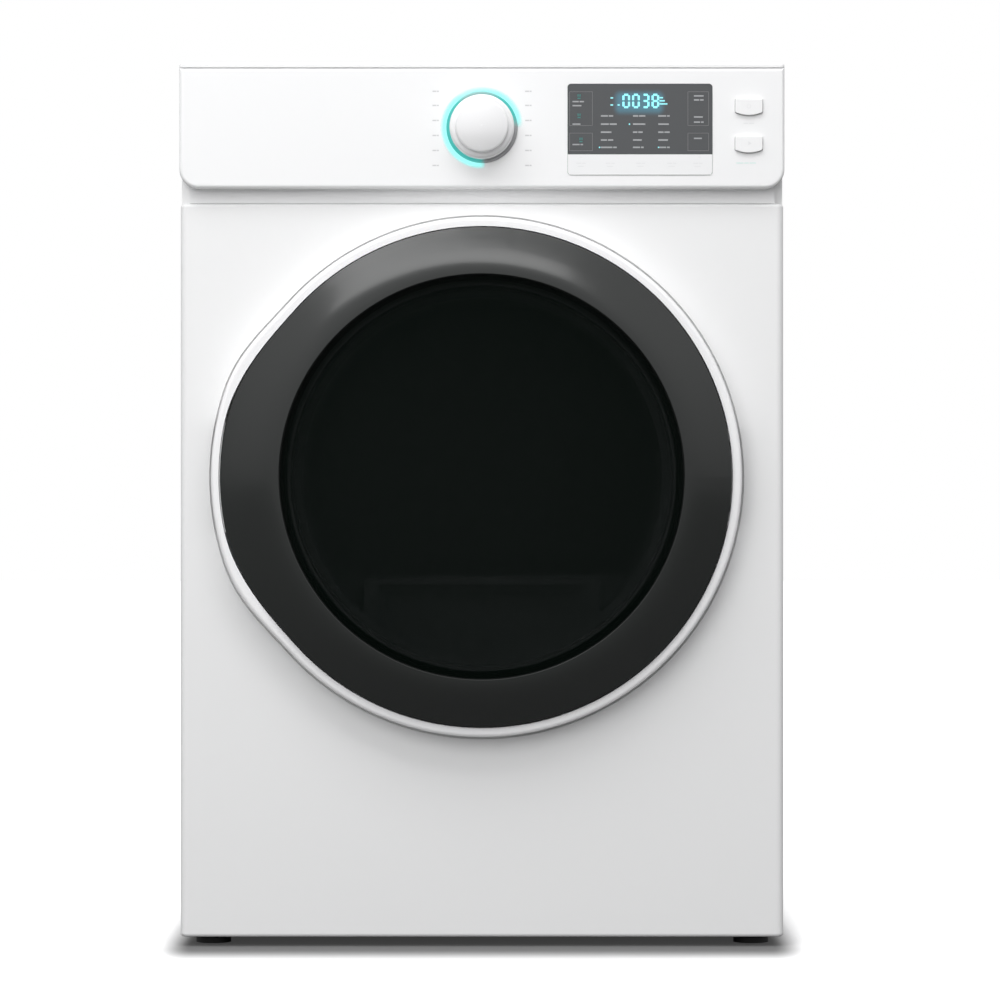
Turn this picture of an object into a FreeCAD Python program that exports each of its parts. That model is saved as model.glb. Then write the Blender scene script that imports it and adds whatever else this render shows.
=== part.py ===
import FreeCAD, Part
import math
import os

# Clothes dryer, 27 inch class, built as separate parts in one frame.
# Millimetres. X to the right seen from the front, Y to the back, Z up.
# The origin is on the floor, under the centre of the overall size.

os.makedirs("parts", exist_ok=True)
V = FreeCAD.Vector

# ---- cabinet
HALF_W = 343.0            # half the cabinet's width
TOP = 1003.0              # top of the cover
FACE = -326.0             # front face of the front panel
BACK = 350.0              # outer face of the rear panel
STEEL = 0.8               # painted sheet
SKIRT = 11.0              # lower edge of the panels
PANEL_TOP = 845.0         # upper edge of the front panel
PANEL_DEPTH = 22.0        # front panel's folded return
PANEL_CORNER = 8.0        # rounding of its upright edges
PANEL_EDGE = 4.0          # rounding of its level edges
SIDE_FLANGE = 18.0
COVER_DEPTH = 5.0         # folded edge of the top cover
FLOOR_Z = 22.0            # base pan, underside
FLOOR_T = 1.2
REAR_T = 0.8
PAN_WALL = 40.0
FOOT_X = 309.0
FOOT_Y = (-270.0, 300.0)
FOOT_STEM_R = 5.0
RUN_FIT = 0.05            # radial clearance of a running fit
PEDESTAL_X = 280.0
PEDESTAL_Y = (-255.0, 285.0)
PEDESTAL_HOLE_R = 4.0
SCREW_X = 334.0
SCREW_Z = (60.0, 300.0, 540.0, 760.0, 960.0)
TOP_SCREWS = (-200.0, 0.0, 200.0)
SCREW_SHANK_R = 2.0
SCREW_LENGTH = 9.0
PAN_X = (-341.4, 341.4)
PAN_Y = (-302.5, 347.5)
SMALL_GAP = 0.3           # between parts that don't move on each other

# ---- console
CONSOLE_FACE = -343.0
CONSOLE_BACK = -304.0
CONSOLE_LOW = 861.0
CONSOLE_TOP = 997.7
CONSOLE_CORNER = 22.0
CONSOLE_EDGE = 4.0
CONSOLE_WALL = 2.5
COVE_HALF = 333.0
COVE_FACE = -321.0
KNOB = (0.0, 930.0)
KNOB_SKIRT_R = 36.6
KNOB_CAP_R = 29.8
KNOB_SKIRT_FRONT = -357.0
KNOB_FRONT = -373.0
KNOB_DOME = 2.6           # crown of the cap's face
KNOB_HUB_R = 8.0
KNOB_COLLAR_R = 30.0
LIGHT_RING_R = (34.5, 40.2)
LIGHT_RING_GAP = 0.7
ENCODER_R = 3.0
DISPLAY_X = (97.3, 261.0)
DISPLAY_Z = (899.9, 979.4)
KEYS_Z = (876.2, 899.5)
BUTTON_X = 302.3
BUTTON_Z = (953.0, 910.5)     # power, start
BUTTON_SIZE = (31.0, 19.0)
BUTTON_BOW = 3.5          # drop of the key's bowed lower edge
BUTTON_FRONT = -347.0
BUTTON_STROKE = 2.0
PANE_CORNER = 4.0         # corners of the display and the key strip
UI_BOARD_X = (-62.0, 328.0)
UI_BOARD_Z = (872.0, 984.0)
UI_BOARD_Y = (-333.0, -331.4)
TOUCH_PADS = (106.0, 139.0, 173.0, 206.0, 236.0)

# ---- door
DOOR = (0.0, 534.0)
DOOR_R = 294.0            # outside of the trim ring
LENS_R = 283.5            # outside of the smoked cover
RING_BULGE = 12.0         # extra reach of the ring at the grip
RING_HOLD = 20.0          # half angle over which the ring keeps that reach
LENS_BULGE = 14.0         # extra reach of the cover at the grip
LENS_HOLD = 11.0
GRIP_FADE = 42.0          # half angle where both are round again
WINDOW_R = 227.7
DOOR_BACK = 2.0           # back of the door, behind the panel face
RING_FRONT = 32.0         # front of the trim ring, before the panel face
CROWN = 64.0              # front of the cover, before the panel face
COVER_GAP = 1.6           # dark line between the cover and the ring
RECESS_DEPTH = 6.0
RECESS_GAP = 4.0
MOUTH_R = 232.0           # hole in the front panel
HINGE = (283.0, FACE - 20.0)
HINGE_PIN_R = 3.5
EYE_R = 6.0
LEAF_X = 240.0            # inner edge of the leaf
LEAF_HALF = 50.0
LEAF_PLATE = (-8.0, -5.0)     # its plate, from the pin's line
LEAF_EYES = ((20.0, 30.0), (40.0, 50.0))
BRACKET_EYE = (31.0, 39.0)
POCKET_X = (234.0, 302.0)
POCKET_HALF = 54.0
POCKET_FRONT = 28.3
STRIKE_X = -258.0
SWITCH = (180.0, 724.0)
PLUNGER_R = 4.0
PLUNGER_FIT = 0.6         # loose in the panel and the switch body
GRIP_X = (-308.0, -262.0)
GRIP_HALF = 62.0
GRIP_FRONT = 22.0
GRIP_WALL = 2.0

# ---- drum
DRUM = (0.0, 565.0)
DRUM_R = 325.0
NECK_R = 319.2
DRUM_T = 0.8
DRUM_Y = (-252.0, 300.0)
BULKHEAD_Y = -264.0       # front bulkhead, front face
BULKHEAD_T = 1.0
BULKHEAD_LOW = 240.0
BULKHEAD_TOP = 905.0
BULKHEAD_HALF = 336.0
GRILLE_SLOTS = 15         # air slots under the loading opening
GRILLE_PITCH = 15.0
LAMP = (0.0, 790.0)
LAMP_LENS_R = 16.5
REAR_BULKHEAD_Y = 304.0
FLANGE_R = (306.0, 307.5)
FELT_R = (307.5, 317.7)
LOADING_R = 200.0
LOADING_FLAT = 422.0
COLLAR_R = (226.0, 227.5)
BAFFLE_TALL = 75.0
BAFFLE_HALF = 48.0
ROLLER_R = 38.0
ROLLER_ANGLE = 38.0       # from straight down
ROLLER_Y = (272.0, 294.0)
ROLLER_SHAFT_R = 6.0
TOUCH = 0.3               # gap between surfaces that roll on each other

# ---- drive
MOTOR = (-145.0, 125.0)
MOTOR_R = 66.0
MOTOR_WALL = 2.5
MOTOR_Y = (-186.0, -46.0)
CORE_Y = (-142.0, -92.0)  # laminated core, with the rotor inside it
ROTOR_R = 38.0
SHAFT_R = 6.0
PULLEY_R = 10.0
IDLER = (-100.0, 118.0)
IDLER_R = 24.0
IDLER_PIVOT = (-115.0, 62.0)
IDLER_PIN_R = 4.0
SPRING_X = IDLER_PIVOT[0] + 38.0
SPRING_Y = 8.5
SPRING_SEAT = 3.5
BELT_T = 3.0
BELT_Y = (-12.5, -3.5)
BLOWER_Y = (-266.0, -214.0)
BLOWER_R = 98.0
WHEEL_R = 84.0
WHEEL_Y = (-260.0, -220.0)
BLADES = 24
HOUSING_X = 58.0          # its far side, past the outlet
HOUSING_Z = (42.0, 158.0)
INTAKE_R = 60.0

# ---- air path
EXHAUST = (0.0, 100.0)
EXHAUST_R = 50.8
EXHAUST_T = 0.8
EXHAUST_END = 390.0
EXHAUST_HOLE_R = 53.8
BEAD_R = 52.3             # stop for the duct that is pushed on
BEAD_Y = (350.0, 352.0)
DUCT_Y = (-296.0, -266.0)
DUCT_WALL = 2.0
DUCT_OUTLINE = [
    (-135.0, 418.0),
    (135.0, 418.0),
    (135.0, 228.0),
    (-60.0, 45.0),
    (-225.0, 45.0),
    (-225.0, 215.0),
    (-135.0, 300.0),
]
FILTER_X = 120.0
FILTER_Z = (236.0, 416.0)
FILTER_Y = (-288.0, -274.0)
HEATER_X = (90.0, 270.0)
HEATER_Z = (40.0, 180.0)
HEATER_Y = (-100.0, 306.0)
RISER_Y = (306.0, 344.0)
RISER_TOP = 640.0
ROD_R = 4.0
ROD_PASSES = 4
TERMINAL = (-230.0, 880.0)
TERMINAL_HALF = (62.0, 44.0)
TERMINAL_DEPTH = 34.0
CORD_HOLE_R = 14.3


# ---- helpers
def box(x, y, z):
    return Part.makeBox(x[1] - x[0], y[1] - y[0], z[1] - z[0], V(x[0], y[0], z[0]))


def disc(radius, centre, y):
    """Cylinder along Y, centre given as (x, z)."""
    return Part.makeCylinder(radius, y[1] - y[0], V(centre[0], y[0], centre[1]), V(0, 1, 0))


def post(radius, x, y, z):
    """Cylinder along Z."""
    return Part.makeCylinder(radius, z[1] - z[0], V(x, y, z[0]))


def ring(outer, inner, centre, y):
    return disc(outer, centre, y).cut(disc(inner, centre, y))


def plate(points, y):
    """Outline in XZ, carried along Y."""
    wire = Part.makePolygon([V(x, y[0], z) for x, z in points] + [V(points[0][0], y[0], points[0][1])])
    return Part.Face(wire).extrude(V(0, y[1] - y[0], 0))


def edges_along(shape, axis, keep=None):
    """Edges that run along one axis; keep may pick some of them by their bounding box."""
    found = []
    for edge in shape.Edges:
        lean = getattr(edge.tangentAt(edge.FirstParameter), axis)
        if abs(lean) > 0.9 and (keep is None or keep(edge.BoundBox)):
            found.append(edge)
    return found


def edges_where(shape, keep):
    return [edge for edge in shape.Edges if keep(edge.BoundBox)]


def rounded(x, y, z, radius):
    """Block with its four edges along Y rounded."""
    block = box(x, y, z)
    return block.makeFillet(radius, edges_along(block, "y"))


def turned(points, centre):
    """Closed outline of (radius, y) turned about the Y line through centre."""
    wire = Part.makePolygon([V(centre[0] + r, y, centre[1]) for r, y in points + points[:1]])
    return Part.Face(wire).revolve(V(centre[0], 0, centre[1]), V(0, 1, 0), 360)


def joined(shapes):
    return shapes[0].multiFuse(shapes[1:]).removeSplitter()


def group(shapes):
    return Part.makeCompound(shapes)


def around(centre, radius, degrees):
    """Point on a circle in XZ, angle from +X towards +Z."""
    a = math.radians(degrees)
    return (centre[0] + radius * math.cos(a), centre[1] + radius * math.sin(a))


def spun(shape, centre, degrees):
    """Copy turned about the Y line through centre, seen from the front counter-clockwise."""
    copy = shape.copy()
    copy.rotate(V(centre[0], 0, centre[1]), V(0, -1, 0), degrees)
    return copy


def moved(shape, x, y, z):
    copy = shape.copy()
    copy.translate(V(x, y, z))
    return copy


def screw(centre, y, direction, head_r=4.5, head_t=2.0, length=SCREW_LENGTH):
    """Pan-head screw; y is under the head, direction +1 points the tip to the back."""
    head = disc(head_r, centre, sorted((y, y - direction * head_t)))
    shank = disc(SCREW_SHANK_R, centre, sorted((y, y + direction * length)))
    return head.fuse(shank)


def save(name, shape):
    shape.exportStep("parts/" + name + ".step")


# ---- the door's outline: a circle that reaches further at the grip
def grip_weight(degrees, hold):
    """1 at the grip, 0 away from it, with a smooth step between."""
    off = abs(degrees - 180.0)
    t = min(max((off - hold) / (GRIP_FADE - hold), 0.0), 1.0)
    return 1.0 - t * t * (3.0 - 2.0 * t)


def door_shape(radius, bulge, hold, y):
    steps = 72
    points = []
    for i in range(steps):
        degrees = 360.0 * i / steps
        x, z = around(DOOR, radius + bulge * grip_weight(degrees, hold), degrees)
        points.append(V(x, y[0], z))
    curve = Part.BSplineCurve()
    curve.interpolate(points, PeriodicFlag=True)
    return Part.Face(Part.Wire(curve.toShape())).extrude(V(0, y[1] - y[0], 0))


def ring_shape(grow, y):
    return door_shape(DOOR_R + grow, RING_BULGE, RING_HOLD, y)


def lens_shape(grow, y):
    return door_shape(LENS_R + grow, LENS_BULGE, LENS_HOLD, y)


# ---- cabinet parts
def screw_places():
    places = [(side * SCREW_X, z) for side in (-1, 1) for z in SCREW_Z]
    places += [(x, TOP - 18.0) for x in TOP_SCREWS]
    return places


def cabinet_screws():
    return group([screw(place, BACK, -1) for place in screw_places()])


def screw_holes():
    """Loose holes for the shanks, for parts behind the sheet that they clamp."""
    y = (BACK - SCREW_LENGTH - 2.0, BACK)
    return group([disc(SCREW_SHANK_R + SMALL_GAP, place, y) for place in screw_places()])


def inset(span, by):
    """A (low, high) span with both ends drawn in."""
    return (span[0] + by, span[1] - by)


def base_pan():
    top = FLOOR_Z + PAN_WALL
    pan = box(PAN_X, PAN_Y, (FLOOR_Z, top))
    inside = box(inset(PAN_X, FLOOR_T), inset(PAN_Y, FLOOR_T), (FLOOR_Z + FLOOR_T, top))
    pan = pan.cut(inside)
    feet = [(side * FOOT_X, y) for side in (-1, 1) for y in FOOT_Y]
    bushes = [post(9.0, x, y, (13.0, 44.0)) for x, y in feet]
    pan = joined([pan] + bushes)
    cuts = [post(FOOT_STEM_R + RUN_FIT, x, y, (10.0, 50.0)) for x, y in feet]
    for side in (-1, 1):
        for y in PEDESTAL_Y:
            cuts.append(post(PEDESTAL_HOLE_R, side * PEDESTAL_X, y, (FLOOR_Z - 1.0, FLOOR_Z + 8.0)))
    cuts.append(disc(EXHAUST_HOLE_R, EXHAUST, (PAN_Y[1] - 5.0, PAN_Y[1] + 5.0)))
    cuts.append(screw_holes())
    return pan.cut(group(cuts))


def foot(x, y):
    pad = post(20.0, x, y, (0.0, 6.0))
    cone = Part.makeCone(20.0, 13.0, 4.0, V(x, y, 6.0))
    stem = post(FOOT_STEM_R, x, y, (10.0, 58.0))
    return joined([pad, cone, stem])


def side_panel(side):
    outer = side * HALF_W
    inner = side * (HALF_W - STEEL)
    lip = side * (HALF_W - SIDE_FLANGE)
    z = (SKIRT + 0.5, TOP - COVER_DEPTH - SMALL_GAP)
    y = (FACE + PANEL_DEPTH + SMALL_GAP, BACK - REAR_T)
    web = box(sorted((outer, inner)), y, z)
    front = box(sorted((outer, lip)), (y[0], y[0] + STEEL), z)
    back = box(sorted((outer, lip)), (y[1] - STEEL, y[1]), z)
    top = box(sorted((outer, lip)), y, (z[1] - STEEL, z[1]))
    return joined([web, front, back, top]).cut(cabinet_screws())


def rear_panel():
    half = HALF_W - 0.5
    sheet = box((-half, half), (BACK - REAR_T, BACK), (SKIRT + 1.0, TOP - COVER_DEPTH - SMALL_GAP))
    through = (BACK - 5.0, BACK + 5.0)
    x, z = TERMINAL
    cuts = [disc(EXHAUST_HOLE_R, EXHAUST, through), cabinet_screws()]
    cuts.append(box((x - 50.0, x + 50.0), through, (z - 32.0, z + 32.0)))
    louvre = (80.0, 7.0)
    for column in (-60.0, 40.0, 140.0):
        for row in range(6):
            low = 700.0 + 16.0 * row
            cuts.append(rounded((column, column + louvre[0]), through, (low, low + louvre[1]), 3.0))
    return sheet.cut(group(cuts))


def top_cover():
    z = (TOP - COVER_DEPTH, TOP)
    y = (CONSOLE_FACE + 1.0, BACK)
    x = (-HALF_W, HALF_W)
    corner, rim = 4.0, 2.5
    tray = box(x, y, z)
    tray = tray.makeFillet(corner, edges_along(tray, "z"))
    tray = tray.makeFillet(rim, edges_where(tray, lambda b: b.ZMin > TOP - 0.01))
    inside = box(inset(x, STEEL), inset(y, STEEL), (z[0], TOP - STEEL))
    inside = inside.makeFillet(corner - 0.5, edges_along(inside, "z"))
    upper = edges_where(inside, lambda b: b.ZMin > TOP - STEEL - 0.01)
    return tray.cut(inside.makeFillet(rim - 0.9, upper))


def front_panel():
    y = (FACE, FACE + PANEL_DEPTH)
    z = (SKIRT, PANEL_TOP)
    skin = rolled_block(HALF_W, y, z, PANEL_CORNER, PANEL_EDGE)
    inner_y = (FACE + STEEL, y[1])
    corner, edge = PANEL_CORNER - STEEL, PANEL_EDGE - STEEL
    inside = rolled_block(HALF_W - STEEL, inner_y, inset(z, STEEL), corner, edge)
    keep = ring_shape(RECESS_GAP + STEEL, (FACE, FACE + RECESS_DEPTH + STEEL))
    recess = ring_shape(RECESS_GAP, (FACE - 1.0, FACE + RECESS_DEPTH))
    panel = skin.cut(inside.cut(keep)).cut(recess)
    lip = ring(MOUTH_R + STEEL, MOUTH_R, DOOR, (FACE + RECESS_DEPTH, y[1]))
    panel = joined([panel, lip])
    through = (FACE - 5.0, y[1] + 5.0)
    slot = box((STRIKE_X - 7.0, STRIKE_X + 7.0), through, (DOOR[1] - 20.0, DOOR[1] + 20.0))
    switch_hole = disc(PLUNGER_R + PLUNGER_FIT, SWITCH, through)
    return panel.cut(group([disc(MOUTH_R, DOOR, through), slot, switch_hole]))


def rolled_block(half, y, z, corner, edge):
    """Pan shape: upright front edges rounded more than the top and bottom ones."""
    def at_front(b):
        return b.YMax < y[0] + 0.01

    block = box((-half, half), y, z)
    block = block.makeFillet(corner, edges_along(block, "z", at_front))
    return block.makeFillet(edge, edges_along(block, "x", at_front))


# ---- console parts
def button_outline(grow, y):
    """Key with a straight top and a bowed lower edge."""
    half_w = BUTTON_SIZE[0] / 2 + grow
    half_h = BUTTON_SIZE[1] / 2 + grow
    shoulder = BUTTON_BOW - half_h
    corners = [(-half_w, shoulder), (-half_w, half_h), (half_w, half_h), (half_w, shoulder)]
    points = [V(x, y[0], z) for x, z in corners]
    edges = [Part.makeLine(a, b) for a, b in zip(points, points[1:])]
    edges.append(Part.Arc(points[3], V(0, y[0], -half_h), points[0]).toShape())
    key = Part.Face(Part.Wire(edges)).extrude(V(0, y[1] - y[0], 0))
    return key.makeFillet(1.6 + grow, edges_along(key, "y"))


def console_fascia():
    wall = CONSOLE_WALL
    front = console_block(0.0)
    inner = console_block(wall)
    cove_z = (PANEL_TOP + 0.5, CONSOLE_LOW + wall)
    cove = box((-COVE_HALF, COVE_HALF), (COVE_FACE, CONSOLE_BACK), cove_z)
    hollow_x = inset((-COVE_HALF, COVE_HALF), wall)
    hollow = box(hollow_x, (COVE_FACE + wall, CONSOLE_BACK), (cove_z[0] + wall, cove_z[1] + wall))
    body = joined([front.cut(inner), cove]).cut(hollow)
    y = (CONSOLE_FACE - 5.0, CONSOLE_FACE + wall + 5.0)
    pane_x = inset(DISPLAY_X, -SMALL_GAP)
    pane_z = inset((KEYS_Z[0], DISPLAY_Z[1]), -SMALL_GAP)
    cuts = [rounded(pane_x, y, pane_z, PANE_CORNER), disc(KNOB_HUB_R + 2.0, KNOB, y)]
    groove = (LIGHT_RING_R[1] + LIGHT_RING_GAP, LIGHT_RING_R[0] - 0.2)
    cuts.append(ring(groove[0], groove[1], KNOB, (y[0], CONSOLE_FACE + 1.5)))
    for z in BUTTON_Z:
        cuts.append(moved(button_outline(0.4, y), BUTTON_X, 0, z))
    return body.cut(group(cuts))


def console_block(inside):
    """The console's front shell, or the space inside it when drawn in by its wall."""
    low = CONSOLE_LOW + inside
    front = CONSOLE_FACE + inside
    half = HALF_W - inside
    block = box((-half, half), (front, CONSOLE_BACK), (low, CONSOLE_TOP - inside))
    lower = edges_along(block, "y", lambda b: b.ZMax < low + 0.01)
    block = block.makeFillet(CONSOLE_CORNER - inside, lower)
    rim = edges_where(block, lambda b: b.YMax < front + 0.01)
    return block.makeFillet(CONSOLE_EDGE if not inside else 2.0, rim)


def display_window():
    block = box(DISPLAY_X, (CONSOLE_FACE - 0.6, CONSOLE_FACE + 2.4), DISPLAY_Z)
    upper = edges_along(block, "y", lambda b: b.ZMin > DISPLAY_Z[1] - 0.01)
    return block.makeFillet(PANE_CORNER, upper)


def touch_key_strip():
    block = box(DISPLAY_X, (CONSOLE_FACE - 0.8, CONSOLE_FACE + 2.2), KEYS_Z)
    lower = edges_along(block, "y", lambda b: b.ZMax < KEYS_Z[0] + 0.01)
    return block.makeFillet(PANE_CORNER, lower)


def knob_light_ring():
    back = CONSOLE_FACE + 1.4
    front = CONSOLE_FACE - 2.2
    inner, outer = LIGHT_RING_R
    chamfer = 1.2
    outline = [(inner, back), (outer, back), (outer, front + chamfer)]
    outline += [(outer - chamfer, front), (inner, front)]
    return turned(outline, KNOB)


def ui_board():
    face, back = UI_BOARD_Y
    parts = [box(UI_BOARD_X, UI_BOARD_Y, UI_BOARD_Z)]
    encoder = 8.0
    parts.append(box((-encoder, encoder), (face - 6.0, face), (KNOB[1] - encoder, KNOB[1] + encoder)))
    parts.append(disc(ENCODER_R, KNOB, (-358.0, face - 6.0)))
    display_module = box((150.0, 206.0), (face - 6.8, face), (944.0, 974.0))
    parts.append(display_module)
    for x in TOUCH_PADS:
        parts.append(box((x, x + 12.0), (face - 6.6, face), (882.0, 894.0)))
    for z in BUTTON_Z:
        parts.append(box((BUTTON_X - 4.0, BUTTON_X + 4.0), (face - 4.0, face), (z - 4.0, z + 4.0)))
    socket = box((20.0, 70.0), (back, back + 9.4), (890.0, 900.0))
    parts.append(socket)
    low, high = inset(UI_BOARD_Z, 8.0)
    for place in ((-52.0, low), (-52.0, high), (90.0, high), (318.0, high), (318.0, low)):
        parts.append(disc(3.0, place, (back, back + 15.4)))
    return joined(parts)


def control_board():
    x = (-300.0, -90.0)
    y = (-296.0, -250.0)
    z = (915.0, 985.0)
    wall = 2.0
    face = -264.0
    tray = box(x, y, z).cut(box(inset(x, wall), (y[0] - 4.0, y[1] - wall), inset(z, wall)))
    board = box(inset(x, wall), (face, face + 1.6), inset(z, wall))
    relays = [box((at, at + 22.0), (face - 18.0, face), (925.0, 953.0)) for at in (-290.0, -262.0, -234.0)]
    capacitor = disc(9.0, (-180.0, 940.0), (face - 26.0, face))
    plug = box((-150.0, -100.0), (face - 12.0, face), (960.0, 972.0))
    return joined([tray, board, capacitor, plug] + relays)


def selector_knob():
    hub_back = CONSOLE_FACE + 2.0
    skirt_back = CONSOLE_FACE - 3.2
    web = skirt_back - 2.5
    bore = ENCODER_R + RUN_FIT
    outline = [(bore, hub_back), (KNOB_HUB_R, hub_back), (KNOB_HUB_R, web), (KNOB_COLLAR_R, web)]
    outline += [(KNOB_COLLAR_R, skirt_back), (KNOB_SKIRT_R, skirt_back)]
    roll, step, edge = 3.0, 0.8, 2.0
    outline += arc_points((KNOB_SKIRT_R - roll, KNOB_SKIRT_FRONT + roll), roll, 0.0, -90.0, 5)
    outline += [(KNOB_CAP_R + step, KNOB_SKIRT_FRONT), (KNOB_CAP_R, KNOB_SKIRT_FRONT - step)]
    outline += arc_points((KNOB_CAP_R - edge, KNOB_FRONT + edge), edge, 0.0, -80.0, 6)
    face_r, face_y = outline[-1]
    steps = 8
    for i in range(1, steps + 1):
        r = face_r * (1.0 - i / steps)
        outline.append((r, face_y - KNOB_DOME * (1.0 - (r / face_r) ** 2)))
    outline += [(0.0, -359.0), (bore, -359.0)]
    return turned(outline, KNOB)


def arc_points(centre, radius, start, end, steps):
    """Points on an arc in (radius, y) space, angles in degrees from the outward direction."""
    points = []
    for i in range(steps + 1):
        a = math.radians(start + (end - start) * i / steps)
        points.append((centre[0] + radius * math.cos(a), centre[1] + radius * math.sin(a)))
    return points


def push_button(z):
    y = CONSOLE_FACE + CONSOLE_WALL + 0.2
    cap = button_outline(0.0, (BUTTON_FRONT, y + 1.0))
    cap = cap.makeFillet(1.0, edges_where(cap, lambda b: b.YMax < BUTTON_FRONT + 0.01))
    collar = box((-18.0, 18.0), (y, y + 1.0), (-7.0, 12.0))
    switch_face = UI_BOARD_Y[0] - 4.0
    stem = disc(2.0, (0.0, 0.0), (y, switch_face - BUTTON_STROKE - 0.2))
    return moved(joined([cap, collar, stem]), BUTTON_X, 0, z)


# ---- door parts
def door_trim_ring():
    y = (FACE - RING_FRONT, FACE + DOOR_BACK)
    outer = ring_shape(0.0, y)
    outer = outer.makeFillet(4.0, edges_where(outer, lambda b: b.YMax < y[0] + 0.01))
    body = outer.cut(lens_shape(0.0, inset(y, -1.0)))
    return body.cut(group([hinge_pocket(), grip_space(0.0)]))


def beside(middle, half):
    """(low, high) span round a middle."""
    return (middle - half, middle + half)


def hinge_pocket():
    return box(POCKET_X, (FACE - POCKET_FRONT, FACE + 10.0), beside(DOOR[1], POCKET_HALF))


def grip_space(wall):
    """Room for the fingers behind the rim, grown by the liner's wall."""
    x = (GRIP_X[0], GRIP_X[1] + wall)
    y = (FACE - GRIP_FRONT - wall, FACE + 10.0)
    return box(x, y, beside(DOOR[1], GRIP_HALF + wall))


def door_cover():
    """Dome turned about the door's middle, then trimmed to the door's outline."""
    slope = [(302.0, 27.0), (292.0, 31.5), (283.0, 36.5), (262.0, 50.0), (246.0, 59.2)]
    dome = slope + [(236.0, CROWN - 1.1), (WINDOW_R + 0.6, CROWN)]
    wall = 3.2
    outer = [V(DOOR[0] + r, FACE - p, DOOR[1]) for r, p in dome]
    inner = [V(DOOR[0] + r, FACE - p + wall, DOOR[1]) for r, p in slope + [(237.0, CROWN - 1.4)]]
    crown = Part.BSplineCurve()
    crown.interpolate(outer)
    under = Part.BSplineCurve()
    under.interpolate(inner)
    flange = [(WINDOW_R, CROWN - 0.6), (WINDOW_R, 46.0), (222.0, 46.0), (222.0, 42.6)]
    flange += [(231.5, 42.6), (231.5, 58.5)]
    points = [V(DOOR[0] + r, FACE - p, DOOR[1]) for r, p in flange]
    path = [outer[-1]] + points + [inner[-1]]
    edges = [crown.toShape(), under.toShape(), Part.makeLine(outer[0], inner[0])]
    edges += [Part.makeLine(a, b) for a, b in zip(path, path[1:])]
    wire = Part.Wire(Part.__sortEdges__(edges))
    shell = Part.Face(wire).revolve(V(DOOR[0], 0, DOOR[1]), V(0, 1, 0), 360)
    return shell.common(lens_shape(-COVER_GAP, (FACE - 80.0, FACE)))


def door_window():
    return disc(WINDOW_R - 0.5, DOOR, (FACE - 50.5, FACE - 46.2))


def door_inner_frame():
    outline = [(205.0, -DOOR_BACK), (281.0, -DOOR_BACK), (281.0, 31.0), (278.0, 31.0), (278.0, 1.0),
               (219.0, 1.0), (219.0, 42.3), (216.0, 42.3), (216.0, 1.0), (205.0, 1.0)]
    body = turned([(r, FACE - p) for r, p in outline], DOOR)
    ribs = []
    for k in range(12):
        rib = box((218.0, 279.0), (FACE - 22.0, FACE + 1.0), beside(DOOR[1], 1.0))
        ribs.append(spun(rib, DOOR, 15.0 + 30.0 * k))
    wall = 3.0
    pad_y = (FACE - POCKET_FRONT - wall, FACE + DOOR_BACK)
    pad = box((POCKET_X[0] - wall, 281.0), pad_y, beside(DOOR[1], POCKET_HALF + wall))
    pad = pad.common(disc(281.0, DOOR, (FACE - 40.0, FACE + 5.0)))
    cuts = [hinge_pocket(), grip_space(GRIP_WALL), door_screws(SMALL_GAP)]
    return joined([body, pad] + ribs).cut(group(cuts))


def door_inner_glass():
    outline = [(214.0, 5.0), (214.0, 1.2), (204.4, 1.2), (203.4, -8.0), (193.0, -18.0), (0.0, -18.0),
               (0.0, -14.0), (191.4, -14.0), (199.4, -6.3), (200.4, 5.0)]
    return turned([(r, FACE - p) for r, p in outline], DOOR)


def door_grip():
    y = (FACE - 40.0, FACE + DOOR_BACK)
    cup = grip_space(GRIP_WALL).common(lens_shape(-COVER_GAP, y))
    return cup.cut(grip_space(0.0))


def door_strike():
    z = (DOOR[1] - 10.0, DOOR[1] + 10.0)
    y = FACE + DOOR_BACK
    blade = box((STRIKE_X - 1.5, STRIKE_X + 1.5), (y, y + 21.0), z)
    bead = post(2.6, STRIKE_X, y + 18.0, z)
    foot_plate = box((STRIKE_X - 1.5, STRIKE_X + 9.0), (y, y + 1.5), z)
    return joined([blade, bead, foot_plate])


def mirrored(span, side):
    """A height span above the door's middle, or the same span below it."""
    low, high = span
    return sorted((DOOR[1] + side * low, DOOR[1] + side * high))


def hinge_leaf():
    x, y = HINGE
    plate_y = (y + LEAF_PLATE[0], y + LEAF_PLATE[1])
    parts = [box((LEAF_X, x + 2.0), plate_y, beside(DOOR[1], LEAF_HALF))]
    gaps = []
    inner, outer = LEAF_EYES
    for side in (-1, 1):
        parts.append(post(EYE_R, x, y, mirrored(inner, side)))
        parts.append(post(EYE_R, x, y, mirrored(outer, side)))
        parts.append(post(HINGE_PIN_R, x, y, mirrored((inner[0], outer[1]), side)))
        gap = box(beside(x, EYE_R + 1.5), beside(y, EYE_R + 3.0), mirrored((inner[1], outer[0]), side))
        gaps.append(gap.cut(post(HINGE_PIN_R, x, y, beside(DOOR[1], LEAF_HALF))))
    return joined(parts).cut(group(gaps))


def hinge_bracket():
    """Plate on the panel with two arms that reach forward to the pin."""
    x, y = HINGE
    base_x = (248.0, 274.0)
    parts = [box(base_x, (FACE + 3.0, FACE + RECESS_DEPTH), beside(DOOR[1], BRACKET_EYE[1] + 6.0))]
    root = FACE + 4.0
    corners = [(256.0, root), (266.0, root), (x + 2.6, y + 2.3), (x - 2.6, y - 2.3)]
    for side in (-1, 1):
        span = mirrored(BRACKET_EYE, side)
        wire = Part.makePolygon([V(px, py, span[0]) for px, py in corners + corners[:1]])
        parts.append(Part.Face(wire).extrude(V(0, 0, span[1] - span[0])))
        parts.append(post(EYE_R, x, y, span))
    return joined(parts).cut(post(HINGE_PIN_R + RUN_FIT, x, y, beside(DOOR[1], LEAF_HALF)))


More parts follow.
